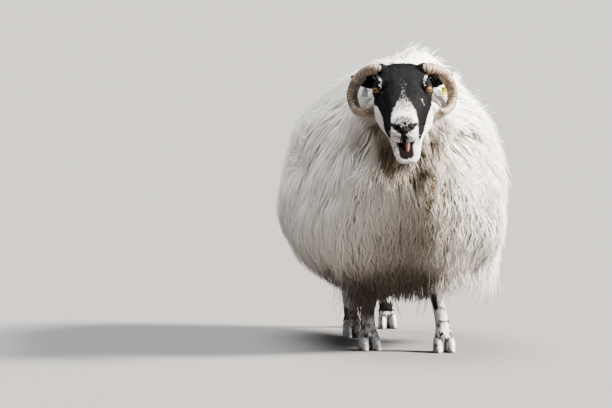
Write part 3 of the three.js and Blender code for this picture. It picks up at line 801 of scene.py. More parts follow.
sprays = [  # centre, reach, count, lean, bend, length, scatter
    ((24, 0, 690), (24, 40, 40), 460, (0.3, -0.1, 0.95), (0.75, -0.2, 0.2), 42, 0.22),
    ((50, -10, 680), (30, 45, 40), 160, (0.6, -0.1, 0.3), (1.2, -0.2, -0.2), 24, 0.4),
    ((120, -30, 650), (45, 70, 50), 120, (0.5, -0.1, 0.3), (1.2, -0.2, 0.0), 20, 0.8),
    ((175, -60, 610), (40, 90, 60), 240, (0.7, -0.1, 0.3), (0.9, -0.1, 0.4), 26, 1.0),
    ((215, -60, 510), (30, 90, 60), 300, (0.9, -0.1, 0.2), (1.0, -0.1, 0.05), 27, 1.1),
    ((205, -20, 520), (20, 40, 16), 150, (0.9, -0.1, 0.35), (1.0, -0.1, -0.3), 42, 0.35),
    ((205, -20, 455), (20, 40, 14), 110, (0.9, -0.1, 0.1), (1.0, -0.1, -0.3), 34, 0.35),
    ((150, -40, 640), (20, 30, 16), 110, (0.5, -0.1, 0.7), (0.6, -0.1, 0.3), 36, 0.35),
    ((-200, 60, 540), (50, 120, 50), 200, (-0.7, -0.1, 0.3), (-0.5, -0.2, 0.2), 27, 0.9),
    ((-205, 60, 440), (50, 120, 60), 200, (-0.8, -0.1, 0.1), (-0.8, -0.2, -0.1), 20, 0.8),
    ((200, 20, 250), (30, 90, 40), 120, (0.7, -0.1, -0.4), (0.8, -0.1, -0.4), 24, 0.7),
    ((196, 10, 262), (26, 80, 26), 1050, (0.0, -0.05, -1.35), (-0.1, -0.05, -1.15), 104, 0.45),
    ((150, -80, 215), (50, 70, 40), 300, (0.0, -0.1, -1.2), (0.0, 0.0, -1.0), 58, 0.5),
    ((20, -160, 220), (110, 70, 40), 420, (0.0, -0.1, -1.2), (0.0, 0.0, -1.0), 52, 0.6),
    ((-5, 325, 645), (15, 50, 60), 300, (0.0, 0.85, 0.25), (0.0, 0.9, -0.45), 46, 0.35),
    ((-110, -60, 205), (70, 90, 40), 450, (0.0, -0.1, -1.2), (0.1, 0.0, -1.0), 74, 0.6),
]
coat = [spray("loose_tufts", sprays, spraySettings["width"], spraySettings["seed"])]
for number, layer in enumerate(coatLayers):
    coat += growWool(*layer, woolSettings["seed"] + number)


# dry stems and seeds caught in the wool

stemSettings = {
    "seed": 37, "count": 110, "top": (9, 431), "foot": (-2, 328), "scatter": 3.0, "length": (5, 12),
    "width": (1.2, 2.6), "profile": (0.7, 1.0, 0.8), "flat": 0.6, "lift": 7.0, "spread": (0.8, 0.3, 1.0),
    "strays": [(-60, 420), (70, 400), (110, 350), (-30, 455), (-110, 330), (60, 300), (20, 270), (-60, 250),
               (130, 420), (-150, 500), (-146, 494), (95, 460)],
}
source = np.random.default_rng(stemSettings["seed"])
share = source.random(stemSettings["count"])[:, None]
streak = np.array(stemSettings["top"]) * (1 - share) + np.array(stemSettings["foot"]) * share
streak[:, 0] += source.normal(0, stemSettings["scatter"], stemSettings["count"])
aims = np.concatenate([streak, np.array(stemSettings["strays"], float)])
hits = [fleece.tree.ray_cast((across, -700.0, height), (0, 1, 0))[0] for across, height in aims.tolist()]
spots, outward, _ = fleece.nearest(np.array(hits))
lean = unit(source.normal(0, 1, spots.shape) * stemSettings["spread"])
lean = unit(lean - outward * (lean * outward).sum(1)[:, None] + outward * 0.25)
lengths = source.uniform(*stemSettings["length"], len(spots))[:, None]
middle = spots + outward * stemSettings["lift"]
path = np.stack([middle + lean * lengths * k for k in (-0.5, -0.1, 0.3, 0.5)], 1)
_, _, faces = hide.nearest(spots)
widths = source.uniform(*stemSettings["width"], len(spots))
debris = buildTufts("dry_stems", path, np.repeat(outward[:, None], 4, 1), widths, stemSettings["profile"],
                    stemSettings["flat"], uvAt(faces, np.full((len(spots), 3), 1 / 3)),
                    {"tone": source.random(len(spots))})


# short hair of the face and the legs

def legPale(spots):
    # the legs are off-white with grey-black blotches
    x, y, z = spots.T
    left, fore = x > 0, y < 100
    dark = np.zeros(len(spots))
    inner = near(spots, (42, -190, 170), (50, -188, 108), 11, 6)
    dark = np.maximum(dark, inner * (left & fore))
    blotch = ramp(ripple(spots, 15, 51), -0.2, 0.8)
    pastern = (1 - ramp(z, 58, 78)) * (0.5 + 0.5 * ramp(z, 8, 24))
    dark = np.maximum(dark, pastern * blotch * np.where(fore, 0.62, 0.5))
    band = ramp(z, 40, 46) * (1 - ramp(z, 62, 74))
    dark = np.maximum(dark, band * (~fore) * 0.9 * ramp(ripple(spots, 40, 52), -1.2, 0.0))
    # more dark flecks on the right fore leg above the pastern: painted shade under the belly
    flecks = 0.22 + 0.22 * (~left & fore) * ramp(z, 70, 90) + 0.4 * ramp(ripple(spots, 17, 53), 0.2, 1.1)
    return 1 - np.clip(np.maximum(dark, flecks), 0, 1)


def grimeAndShadeAt(spots):
    # brown-grey soiling on the upper legs, most on the right fore leg, where it is mostly painted shade; a
    # rusty spot on the left one
    x, y, z = spots.T
    most = np.where((x < 0) & (y < 100), 0.95, 0.25)
    spot = 0.6 * near(spots, (48, -214, 134), (52, -214, 128), 7, 4)
    return np.where(z < 300, np.maximum(most * ramp(z, 52, 105), spot), 0.0)


def paleAt(spots):
    # how white the short hair is at each place of the head and the legs
    white = faceWhite(toHead(spots))
    ears = earSurface.nearest(spots)
    inEar = ramp(np.linalg.norm(ears[0] - spots, axis=1), 5.0, 2.5)
    tip = ramp(np.abs(toHead(spots)[:, 0]), 84, 112) * 0.75 * ramp(ripple(spots, 20, 61), -0.5, 0.8)
    white = white * (1 - inEar) + tip * inEar
    low = spots[:, 2] < 300
    return np.where(low, legPale(spots), white)


skinWhite = paleAt(skinPlaces)
store(skin, "white", skinWhite)
# where the wool grows, the skin is painted greyish beige, darker than the wool: painted shade deep in the
# fleece
store(skin, "wool", woolPart)
store(skin, "grimeAndShade", grimeAndShadeAt(skinPlaces))
x, t, z = local[:, 0], -local[:, 1], local[:, 2]
fall = t * 0.616 - z * 0.788
front = np.stack([np.abs(x), fall, np.zeros(len(x))], 1)
signed = np.stack([x, fall, np.zeros(len(x))], 1)
# the nostrils and the cleft between them are painted near-black: dark nose skin, with painted shade inside
# the openings
onNose = ramp(t, 198, 207) * ramp(z, -58, -50)
wing = near(front, (28, 144, 0), (18, 150, 0), 5.4, 1.6)
slit = near(front, (18, 150, 0), (0, 160, 0), 9.0, 2.0)
philtrum = near(front, (0, 162, 0), (0, 183, 0), 2.6, 1.6)
lowerLip = near(signed, (-2, 213, 0), (16, 213, 0), 8.0, 3.0) * ramp(t, 184, 194)
bare = np.maximum(np.maximum.reduce([wing, slit, philtrum]) * onNose, lowerLip * 0.85)
# the inside of the mouth is painted near-black: its dark red-brown lining with painted shade
inJaw = near(local, (2, -146, -78), (6, -206, -93), 26, 3)
inJaw *= (1 - ramp(np.abs(x - 6), 23, 26)) * (1 - ramp(t, 214, 220))
store(skin, "bare", np.clip(bare, 0, 1))
store(skin, "mouth", np.clip(inJaw, 0, 1))
rims = np.zeros(len(skinPlaces))
for eye in eyes:
    away = np.linalg.norm(skinPlaces - eye["centre"] - eye["gaze"] * 10, axis=1)
    rims = np.maximum(rims, 1 - ramp(away, 11.5, 14.5))
store(skin, "rim", rims)


def hairFlow(spots):
    # the lie of the short hair: back over the cheeks, down the nose, out along the ears, down the legs
    here = toHead(spots)
    flow = np.stack([np.sign(here[:, 0]) * 0.25, np.ones(len(here)), -0.25 * np.ones(len(here))], 1)
    bridge = ramp(here[:, 2], -30, -8) * ramp(-here[:, 1], 74, 96)
    flow = flow * (1 - bridge[:, None]) + np.array((0, -1.0, -0.1)) * bridge[:, None]
    earGap = np.linalg.norm(earSurface.nearest(spots)[0] - spots, axis=1)
    ears = ramp(earGap, 6, 3) * ramp(np.abs(here[:, 0]), 50, 60)
    outward = np.stack([np.sign(here[:, 0]), 0.9 * np.ones(len(here)), -0.45 * np.ones(len(here))], 1)
    flow = flow * (1 - ears[:, None]) + outward * ears[:, None]
    flow = flow @ headAxes.T
    return np.where((spots[:, 2] < 300)[:, None], np.array((0, 0.1, -1.0)), flow)


hairSettings = {"steps": 4, "profile": (0.9, 1.0, 0.7), "flat": 0.35}


def growHair(name, weights, count, length, width, seed, lift):
    source = np.random.default_rng(seed)
    roots, outward, faces, mix = pickRoots(weights, count, source)
    steps = hairSettings["steps"]
    lengths = length * source.uniform(0.7, 1.3, count)
    pollTop = ramp(toHead(roots)[:, 1], -42, -10) * (roots[:, 2] > 300)
    lengths *= 1 + 0.9 * pollTop
    fringe = (1 - ramp(roots[:, 2], 44, 56)) * (roots[:, 2] < 100)
    lengths *= 1 + 0.5 * fringe
    rise = lift * source.uniform(0.5, 1.5, count) * (1 + 2.0 * pollTop + 5.0 * fringe)
    path, facing, here = [roots - outward * 0.6], [outward], roots
    swerve = source.normal(0, 0.28 + 0.25 * pollTop, count)[:, None]
    for k in range(1, steps):
        flow = hairFlow(here)
        flow = unit(flow - outward * (flow * outward).sum(1)[:, None])
        flow = unit(flow + np.cross(outward, flow) * swerve)
        spots, outward, _ = hide.nearest(here + flow * (lengths / (steps - 1))[:, None])
        here = spots
        path.append(spots + outward * (rise * (k / (steps - 1)) ** 0.8)[:, None])
        facing.append(outward)
    path, facing = np.stack(path, 1), np.stack(facing, 1)
    pale = paleAt(roots)
    white = (pale > source.uniform(0.25, 0.75, count)).astype(float)
    values = {"white": white, "grimeAndShade": grimeAndShadeAt(roots), "tone": np.clip(source.normal(0.5, 0.2, count), 0, 1)}
    widths = width * source.uniform(0.7, 1.3, count)
    print(name, count)
    return buildTufts(name, path, facing, widths, hairSettings["profile"], hairSettings["flat"],
                      uvAt(faces, mix), values)


smooth = 1 - np.clip(np.maximum.reduce([bare, inJaw, rims]), 0, 1)
hullSpots, hullOut, _ = fleece.nearest(skinPlaces)
sunken = ((hullSpots - skinPlaces) * hullOut).sum(1)
napeWeights = woolPart * (1 - ramp(sunken, 4, 14)) * ramp(skinPlaces[:, 2], 520, 560)
faceWeights = np.where(skinPlaces[:, 2] > 300, headPart, 0) * smooth ** 2
legWeights = np.where(skinPlaces[:, 2] < 300, legPart, 0) * ramp(skinPlaces[:, 2], 34, 40)
hairLayers = [  # name, weights, count, length, width, seed, lift
    ("face_hair", faceWeights, 11500, 6.0, 1.0, 83, 0.45),
    ("nape_wool", napeWeights, 2600, 26.0, 3.6, 85, 5.0),
    ("leg_hair", legWeights, 7000, 7.5, 0.95, 84, 0.6),
]
faceHair, napeWool, legHair = [growHair(*layer) for layer in hairLayers]


# eyes and lids

eyeSettings = {
    "corneaReach": 8.2, "corneaRise": 1.3, "rimTop": 1.7, "rimLow": 1.3, "rimRadius": 14.1, "tube": 0.25,
}
eyeballs, lids = [], []
for eye in eyes:
    word = "left" if eye["sign"] > 0 else "right"
    bpy.ops.object.select_all(action="DESELECT")
    bpy.ops.mesh.primitive_uv_sphere_add(segments=64, ring_count=48, radius=headSettings["eyeRadius"] * mm)
    globe = bpy.context.object
    globe.name = word + "_eyeball"
    places = points(globe)
    reach = np.hypot(places[:, 0], places[:, 1])
    rise = eyeSettings["corneaRise"] * np.clip(1 - (reach / eyeSettings["corneaReach"]) ** 2, 0, 1)
    frontSide = places[:, 2] > 0
    places[:, 2] += rise * frontSide
    facingOut = np.stack([eye["level"], eye["rise"], eye["gaze"]], 1)
    setPoints(globe, places @ facingOut.T + eye["centre"])
    store(globe, "eyePlace", places)
    clean(globe, 0.001)
    smoothFaces(globe)
    eyeballs.append(globe)

    bpy.ops.object.select_all(action="DESELECT")
    bpy.ops.mesh.primitive_torus_add(major_segments=72, minor_segments=14, major_radius=1.0,
                                     minor_radius=eyeSettings["tube"])
    lid = bpy.context.object
    lid.name = word + "_lid_rim"
    ring = points(lid) * mm
    around = np.arctan2(ring[:, 1], ring[:, 0])
    outer = (np.hypot(ring[:, 0], ring[:, 1]) - 1) / eyeSettings["tube"]
    above = ring[:, 2] / eyeSettings["tube"]
    placesOut = []
    for angle, out, up in zip(around, outer, above):
        across, high = slitEdge(angle)
        thick = eyeSettings["rimTop"] if math.sin(angle) > 0 else eyeSettings["rimLow"]
        scale = 1 + (out * thick + thick * 0.3) / math.hypot(across, high)
        a = (across * math.cos(tilt) - high * math.sin(tilt)) * scale
        b = (high * math.cos(tilt) + across * math.sin(tilt)) * scale
        depth = math.sqrt(max(eyeSettings["rimRadius"] ** 2 - a * a - b * b, 1.0))
        placesOut.append((a, b, depth + up * thick * 0.8))
    setPoints(lid, np.array(placesOut) @ facingOut.T + eye["centre"])
    clean(lid, 0.001)
    smoothFaces(lid)
    lids.append(lid)
print("eyes")


# horns

hornSettings = {
    "rings": 200, "segments": 36, "thick": 15.8, "taper": 3.0, "tipTaper": 6.5, "neck": 0.55,
    "tipRound": 0.045, "ridge": 10.0, "ridgeHeight": 0.085, "oval": 0.87,
}
hornPath = [  # from the root in the skull to the last bend, in the head's frame
    (36, -16, -8), (58, -13, -6), (80, -4, -18), (99, 4, -42), (112, 8, -70), (117, 4, -91), (114, -12, -105),
    (105, -36, -108),
]
hornTips = {"left": [(93, -57, -99), (86, -68, -84)], "right": [(91, -60, -94), (78, -73, -71)]}


def makeHorn(word, sign, seed):
    # a profile spun round a straight axis and bent along the horn's line
    source = np.random.default_rng(seed)
    track = fromHead(np.array(hornPath + hornTips[word], float) * (sign, 1, 1))
    curveData = bpy.data.curves.new(word + "_horn_line", "CURVE")
    curveData.dimensions = "3D"
    curveData.twist_mode = "MINIMUM"
    curveData.resolution_u = 24
    spline = curveData.splines.new("BEZIER")
    spline.bezier_points.add(len(track) - 1)
    for point, place in zip(spline.bezier_points, track * mm):
        point.co = place
        point.handle_left_type = point.handle_right_type = "AUTO"
    curve = bpy.data.objects.new(word + "_horn_line", curveData)
    scene.collection.objects.link(curve)
    length = spline.calc_length()
    rings = hornSettings["rings"]
    u = np.linspace(0, 1, rings)
    radius = hornSettings["thick"] - hornSettings["taper"] * u - hornSettings["tipTaper"] * u ** 5
    radius *= hornSettings["neck"] + (1 - hornSettings["neck"]) * ramp(u, 0.0, 0.09)
    pastTip = ((u - 1) / hornSettings["tipRound"] + 1).clip(0, 1)
    radius *= np.sqrt(1 - pastTip ** 2)
    beat = np.cumsum(source.uniform(0.7, 1.3, rings))
    phase = beat / beat[-1] * length / mm / hornSettings["ridge"]
    ridge = (np.abs(np.sin(phase * math.pi)) ** 0.7 - 0.5) * (1 - 0.75 * u ** 3)
    wrinkle = source.normal(0, 0.25, rings)
    radius = radius * (1 + hornSettings["ridgeHeight"] * (ridge + 0.5 * wrinkle))
    mesh = bpy.data.meshes.new(word + "_horn_shape")
    line = [(max(r, 0.02) * mm, 0, k * length) for r, k in zip(radius, u)]
    mesh.from_pydata([(0, 0, 0)] + line + [(0, 0, length)], [(i, i + 1) for i in range(rings + 1)], [])
    horn = bpy.data.objects.new(word + "_horn_shape", mesh)
    scene.collection.objects.link(horn)
    pick(horn)
    bpy.ops.object.mode_set(mode="EDIT")
    bpy.ops.mesh.select_all(action="SELECT")
    bpy.ops.mesh.spin(steps=hornSettings["segments"], angle=2 * math.pi, center=(0, 0, 0), axis=(0, 0, 1))
    bpy.ops.object.mode_set(mode="OBJECT")
    clean(horn, 0.01)
    places = points(horn)
    around = np.arctan2(places[:, 1], places[:, 0])
    along = places[:, 2] / (length / mm)
    skew = 1 + 0.018 * np.sin(around * 2 + along * 9) + 0.012 * np.sin(around * 5 + along * 40)
    keel = 1 + 0.05 * np.exp(-(((around + 2.4 * sign) % (2 * math.pi) - math.pi) / 0.5) ** 2)
    places[:, 0] *= skew * keel
    places[:, 1] *= skew * keel * hornSettings["oval"]
    places[:, 2] += 2.2 * np.sin(around + 1) * np.sin(along * math.pi)
    setPoints(horn, places)
    store(horn, "groove", np.interp(np.clip(along, 0, 1), u, np.clip(0.5 - ridge - 0.25 * wrinkle, 0, 1)))
    modify(horn, "CURVE", object=curve, deform_axis="POS_Z")
    bpy.data.objects.remove(curve)
    smoothFaces(horn)
    return horn


horns = [makeHorn("left", 1, 41), makeHorn("right", -1, 42)]
print("horns")


# tongue, tags and claws

tongueSettings = {"voxel": 1.6, "narrow": 0.6, "shift": (0, 8, -7)}
tongue = cadCopy("tongue_flesh", "tongue")
places = toHead(points(tongue))
middle = places.mean(0)
places[:, 0] = middle[0] + (places[:, 0] - middle[0]) * tongueSettings["narrow"]
places += tongueSettings["shift"]
setPoints(tongue, fromHead(places))
remesh(tongue, tongueSettings["voxel"])
modify(tongue, "SMOOTH", factor=0.6, iterations=4)
smoothFaces(tongue)
tagSettings = {"bevel": 0.5, "edgeAngle": 40}
tags = []
for word in ("left", "right"):
    tag = cadCopy(word + "_tag_plate", word + "_ear_tag")
    modify(tag, "BEVEL", width=tagSettings["bevel"] * mm, segments=2, limit_method="ANGLE",
           angle_limit=math.radians(tagSettings["edgeAngle"]))
    pick(tag)
    bpy.ops.object.shade_smooth_by_angle(angle=math.radians(35))
    tags.append(tag)
clawSettings = {"voxel": 1.3, "ringHeight": 0.15, "ringPitch": 1.1, "ringWander": 0.9, "inset": 0.1}
claws = []
clawNames = [f"{side}_{end}_{place}_claw" for side in ("left", "right") for end in ("fore", "hind")
             for place in ("outer", "inner")]
for name in clawNames:
    claw = cadCopy(name + "_horn", name)
    remesh(claw, clawSettings["voxel"])
    modify(claw, "SMOOTH", factor=0.6, iterations=9)
    places = points(claw)
    wave = places[:, 2] * clawSettings["ringPitch"] + clawSettings["ringWander"] * ripple(places, 30, 71)
    growth = clawSettings["ringHeight"] * np.sin(wave) * ramp(places[:, 2], 3, 8)
    setPoints(claw, places + normals(claw) * (growth - clawSettings["inset"])[:, None])
    smoothFaces(claw)
    store(claw, "white", legPale(points(claw)))
    claws.append(claw)
print("small pieces")


# materials; a noise scale is in cells to the metre, so 420 makes flecks 2.4 mm across

colourMix = {"out": 2, "data_type": "RGBA"}  # the share at 0, the colours at 6 and 7
smoothStep = {"interpolation_type": "SMOOTHSTEP"}  # the value at 0, where it starts and ends at 1 and 2


def newMaterial(name):
    material = bpy.data.materials.new(name)
    material.use_nodes = True
    return material, material.node_tree, material.node_tree.nodes["Principled BSDF"]


# long coarse wool: matt and off-white, turning brown low down and in the neck's creases with soiling and
# painted shade, with a soft edge of light from its fibres
woolMaterial, tree, shader = newMaterial("long_wool")
tone = addNode(tree, "Attribute", {}, "Fac", attribute_name="tone")
soilAndShade = addNode(tree, "Attribute", {}, "Fac", attribute_name="soilAndShade")
along = addNode(tree, "Attribute", {}, "Fac", attribute_name="along")
fibre = addNode(tree, "Attribute", {}, "Vector", attribute_name="fibre")
# a fibre is 0.04 mm thick, too fine to show, so nine streaks lie across each tuft
streaks = addNode(tree, "Mapping", {"Vector": fibre, "Scale": (9.0, 1.2, 3.7)})
strands = addNode(tree, "TexNoise", {"Vector": streaks, "Scale": 1.0, "Detail": 2.0, "Roughness": 0.55})
washed = addNode(tree, "Mix", {0: tone, 6: linear("#eee6d8"), 7: linear("#fffdf9")}, **colourMix)
strandEdge = addNode(tree, "MapRange", {0: strands, 1: 0.3, 2: 0.7}, **smoothStep)
lit = addNode(tree, "Mix", {0: strandEdge, 6: linear("#f0eadf"), 7: washed}, **colourMix)
pastRoot = addNode(tree, "MapRange", {0: along, 1: 0.0, 2: 0.45}, **smoothStep)
rooted = addNode(tree, "Mix", {0: pastRoot, 6: linear("#dccfbd"), 7: lit}, **colourMix)
# brown for soiling and painted shade, near-black olive where the mask is deepest, which is mostly painted
# shade under the belly and the head; the mix called mud carries both
dirtAndShade = addNode(tree, "Mix", {0: strands, 6: linear("#4c3d2b"), 7: linear("#8a755c")}, **colourMix)
deepDirtAndShade = addNode(tree, "Mix", {0: strands, 6: linear("#2b2218"), 7: linear("#594a36")}, **colourMix)
deepSoilAndShade = addNode(tree, "MapRange", {0: soilAndShade, 1: 0.6, 2: 1.0}, **smoothStep)
mud = addNode(tree, "Mix", {0: deepSoilAndShade, 6: dirtAndShade, 7: deepDirtAndShade}, **colourMix)
own = addNode(tree, "NewGeometry", {}, "Normal")
own = addNode(tree, "VectorMath", {0: own, "Scale": 0.45}, operation="SCALE")
lie = addNode(tree, "Attribute", {}, "Vector", attribute_name="lie")
lie = addNode(tree, "VectorMath", {0: lie, "Scale": 0.55}, operation="SCALE")
summed = addNode(tree, "VectorMath", {0: own, 1: lie}, operation="ADD")
softened = addNode(tree, "VectorMath", {0: summed}, operation="NORMALIZE")
ribs = addNode(tree, "Bump", {"Height": strands, "Strength": 0.35, "Distance": 0.0008, "Normal": softened})
setInputs(tree, shader, {
    "Base Color": addNode(tree, "Mix", {0: soilAndShade, 6: rooted, 7: mud}, **colourMix), "Normal": ribs,
    "Roughness": 0.8, "Specular IOR Level": 0.15, "Sheen Weight": 0.3, "Sheen Roughness": 0.5,
})

# dry stems: dead plant bits, matt, from straw gold to dark brown
stemMaterial, tree, shader = newMaterial("dry_stems")
tone = addNode(tree, "Attribute", {}, "Fac", attribute_name="tone")
golden = addNode(tree, "MapRange", {0: tone, 1: 0.5, 2: 1.0}, **smoothStep)
colour = addNode(tree, "Mix", {0: golden, 6: linear("#1f170d"), 7: linear("#7d6230")}, **colourMix)
setInputs(tree, shader, {"Base Color": colour, "Roughness": 0.85})


def shortHair(name, isSkin):
    # short dense hair: the black is dull with a faint gloss, the white is matt over pink-grey skin
    material, tree, shader = newMaterial(name)
    place = addNode(tree, "TexCoord", {}, "Object")
    white = addNode(tree, "Attribute", {}, "Fac", attribute_name="white")
    if isSkin:  # flecks of 2.4 mm, where the hair turns from black to white
        fleck = addNode(tree, "TexNoise", {"Vector": place, "Scale": 420.0, "Detail": 2.0, "Roughness": 0.55})
        swing = addNode(tree, "Math", {0: fleck, 1: 0.5}, operation="SUBTRACT")
        swing = addNode(tree, "Math", {0: swing, 1: 1.1}, operation="MULTIPLY")
        white = addNode(tree, "Math", {0: white, 1: swing}, operation="ADD")
        white = addNode(tree, "MapRange", {0: white, 1: 0.42, 2: 0.58}, **smoothStep)
    # a hair is 0.07 mm thick, too fine to show, so the grain is 1.1 mm
    grain = addNode(tree, "TexNoise", {"Vector": place, "Scale": 900.0, "Detail": 2.0, "Roughness": 0.55})
    black = addNode(tree, "Mix", {0: grain, 6: linear("#020203"), 7: linear("#0a0a0c")}, **colourMix)
    pale = addNode(tree, "Mix", {0: grain, 6: linear("#aaa6a2"), 7: linear("#d4d1cc")}, **colourMix)
    colour = addNode(tree, "Mix", {0: white, 6: black, 7: pale}, **colourMix)
    # brown-grey soiling of the legs, with painted shade on the right fore leg
    masks = [("grimeAndShade", "#433d37")]
    if isSkin:
        # bare: near-black nose skin, with painted shade in the nostrils
        # mouth: near-black, its lining with painted shade
        # wool: greyish beige, painted shade deep in the fleece
        masks += [("bare", "#120e10"), ("rim", "#120b09"), ("mouth", "#0f0808"), ("wool", "#c4b9a8")]
    for mask, shade in masks:
        share = addNode(tree, "Attribute", {}, "Fac", attribute_name=mask)
        colour = addNode(tree, "Mix", {0: share, 6: colour, 7: linear(shade)}, **colourMix)
    setInputs(tree, shader, {
        "Base Color": colour, "Roughness": 0.68, "Specular IOR Level": 0.03,
        "Normal": addNode(tree, "Bump", {"Height": grain, "Strength": 0.5, "Distance": 0.0006}),
    })
    return material


hideMaterial = shortHair("short_haired_hide", True)
hairMaterial = shortHair("short_hair", False)

# wet eye: amber iris with a level pupil, under a clear glossy cornea; its places are in millimetres
eyeMaterial, tree, shader = newMaterial("eye_amber")
eyePlace = addNode(tree, "Attribute", {}, "Vector", attribute_name="eyePlace")
spot = addNode(tree, "SeparateXYZ", {0: eyePlace}).node
across, up = spot.outputs[0], spot.outputs[1]
squares = [addNode(tree, "Math", {0: value, 1: 2.0}, operation="POWER") for value in (across, up)]
reach = addNode(tree, "Math", {0: squares[0], 1: squares[1]}, operation="ADD")
reach = addNode(tree, "Math", {0: reach}, operation="SQRT")
angle = addNode(tree, "Math", {0: up, 1: across}, operation="ARCTAN2")
ray = addNode(tree, "CombineXYZ", {
    0: addNode(tree, "Math", {0: angle, 1: 6.0}, operation="MULTIPLY"),
    1: addNode(tree, "Math", {0: reach, 1: 0.25}, operation="MULTIPLY"),
})
# about eighty fibres round the iris, half a millimetre apart at its rim
fibres = addNode(tree, "TexNoise", {"Vector": ray, "Scale": 2.2, "Detail": 3.0, "Roughness": 0.55})
colour = addNode(tree, "Mix", {0: fibres, 6: linear("#4a2e11"), 7: linear("#8f682f")}, **colourMix)
for start, end, shade in ((5.2, 7.6, "#4a2b10"), (7.4, 8.4, "#3a2a22")):  # the iris's rim and the white
    beyond = addNode(tree, "MapRange", {0: reach, 1: start, 2: end}, **smoothStep)
    colour = addNode(tree, "Mix", {0: beyond, 6: colour, 7: linear(shade)}, **colourMix)
slot = []
for value, half in ((across, 5.0), (up, 2.8)):  # the pupil's half-width and half-height
    share = addNode(tree, "Math", {0: value, 1: half}, operation="DIVIDE")
    slot.append(addNode(tree, "Math", {0: share, 1: 4.0}, operation="POWER"))
slotSum = addNode(tree, "Math", {0: slot[0], 1: slot[1]}, operation="ADD")
pupil = addNode(tree, "MapRange", {0: slotSum, 1: 1.25, 2: 0.75}, **smoothStep)
setInputs(tree, shader, {
    "Base Color": addNode(tree, "Mix", {0: pupil, 6: colour, 7: linear("#050506")}, **colourMix),
    "Roughness": 0.35, "Specular IOR Level": 0.2, "Coat Weight": 0.25, "Coat Roughness": 0.04,
})

# lid margin: dark brown moist skin with a grain of 1.4 mm
lidMaterial, tree, shader = newMaterial("lid_skin")
place = addNode(tree, "TexCoord", {}, "Object")
grain = addNode(tree, "TexNoise", {"Vector": place, "Scale": 700.0, "Detail": 3.0, "Roughness": 0.55})
colour = addNode(tree, "Mix", {0: grain, 6: linear("#0e0807"), 7: linear("#281812")}, **colourMix)
setInputs(tree, shader, {"Base Color": colour, "Roughness": 0.6, "Specular IOR Level": 0.1})

# horn: ringed keratin, grey-brown, dark in the grooves; blotches of 17 mm and a grain of 2.4 mm; the right
# horn's colours are darker than the left's, as painted shade
hornMaterials = []
for word, dark, pale in (("left", "#594535", "#97806a"), ("right", "#483a30", "#86735f")):
    material, tree, shader = newMaterial(word + "_horn_keratin")
    place = addNode(tree, "TexCoord", {}, "Object")
    blotches = addNode(tree, "TexNoise", {"Vector": place, "Scale": 60.0, "Detail": 4.0, "Roughness": 0.55})
    fine = addNode(tree, "TexNoise", {"Vector": place, "Scale": 420.0, "Detail": 3.0, "Roughness": 0.55})
    blotches = addNode(tree, "MapRange", {0: blotches, 1: 0.32, 2: 0.68}, **smoothStep)
    base = addNode(tree, "Mix", {0: blotches, 6: linear(dark), 7: linear(pale)}, **colourMix)
    groove = addNode(tree, "Attribute", {}, "Fac", attribute_name="groove")
    groove = addNode(tree, "MapRange", {0: groove, 1: 0.25, 2: 0.85}, **smoothStep)
    worn = addNode(tree, "Mix", {0: groove, 6: base, 7: linear("#2f241d")}, **colourMix)
    grain = addNode(tree, "Math", {0: fine, 1: 0.35}, operation="MULTIPLY")
    setInputs(tree, shader, {
        "Base Color": addNode(tree, "Mix", {0: grain, 6: worn, 7: linear("#3d3028")}, **colourMix),
        "Normal": addNode(tree, "Bump", {"Height": fine, "Strength": 0.35, "Distance": 0.0006}),
        "Roughness": 0.55,
    })
    hornMaterials.append(material)

# claw horn: grey keratin with streaks 4 mm wide and 17 mm long down its wall, muddy at the sole
clawMaterial, tree, shader = newMaterial("claw_keratin")
place = addNode(tree, "TexCoord", {}, "Object")
height = addNode(tree, "SeparateXYZ", {0: place}, 2)
wall = addNode(tree, "Mapping", {"Vector": place, "Scale": (240.0, 240.0, 60.0)})
streaks = addNode(tree, "TexNoise", {"Vector": wall, "Scale": 1.0, "Detail": 2.0, "Roughness": 0.55})
horny = addNode(tree, "Mix", {0: streaks, 6: linear("#66676b"), 7: linear("#aeafb3")}, **colourMix)
mottled = addNode(tree, "Attribute", {}, "Fac", attribute_name="white")
swing = addNode(tree, "Math", {0: streaks, 1: 0.5}, operation="MULTIPLY")
mottled = addNode(tree, "Math", {0: mottled, 1: swing}, operation="ADD")
mottled = addNode(tree, "MapRange", {0: mottled, 1: 0.5, 2: 0.85}, **smoothStep)
base = addNode(tree, "Mix", {0: mottled, 6: linear("#29282b"), 7: horny}, **colourMix)
mud = addNode(tree, "TexNoise", {"Vector": place, "Scale": 90.0, "Detail": 3.0, "Roughness": 0.55})
height = addNode(tree, "Math", {0: height, 1: -14.0}, operation="MULTIPLY")
mud = addNode(tree, "Math", {0: mud, 1: height}, operation="ADD")
mud = addNode(tree, "MapRange", {0: mud, 1: 0.25, 2: 0.6}, **smoothStep)
setInputs(tree, shader, {
    "Base Color": addNode(tree, "Mix", {0: mud, 6: base, 7: linear("#4b4238")}, **colourMix),
    "Normal": addNode(tree, "Bump", {"Height": streaks, "Strength": 0.3, "Distance": 0.0005}),
    "Roughness": 0.5,
})

# tongue: moist pink-brown muscle, darkened with painted shade from inside the mouth; blotches of 11 mm under
# papillae of 1.1 mm
tongueMaterial, tree, shader = newMaterial("tongue_wet")
place = addNode(tree, "TexCoord", {}, "Object")
papillae = addNode(tree, "TexNoise", {"Vector": place, "Scale": 900.0, "Detail": 2.0, "Roughness": 0.55})
blotch = addNode(tree, "TexNoise", {"Vector": place, "Scale": 90.0, "Detail": 3.0, "Roughness": 0.55})
setInputs(tree, shader, {
    "Base Color": addNode(tree, "Mix", {0: blotch, 6: linear("#240f0e"), 7: linear("#43211e")}, **colourMix),
    "Roughness": 0.6, "Specular IOR Level": 0.12, "Coat Weight": 0.04, "Coat Roughness": 0.2,
    "Normal": addNode(tree, "Bump", {"Height": papillae, "Strength": 0.4, "Distance": 0.0004}),
})

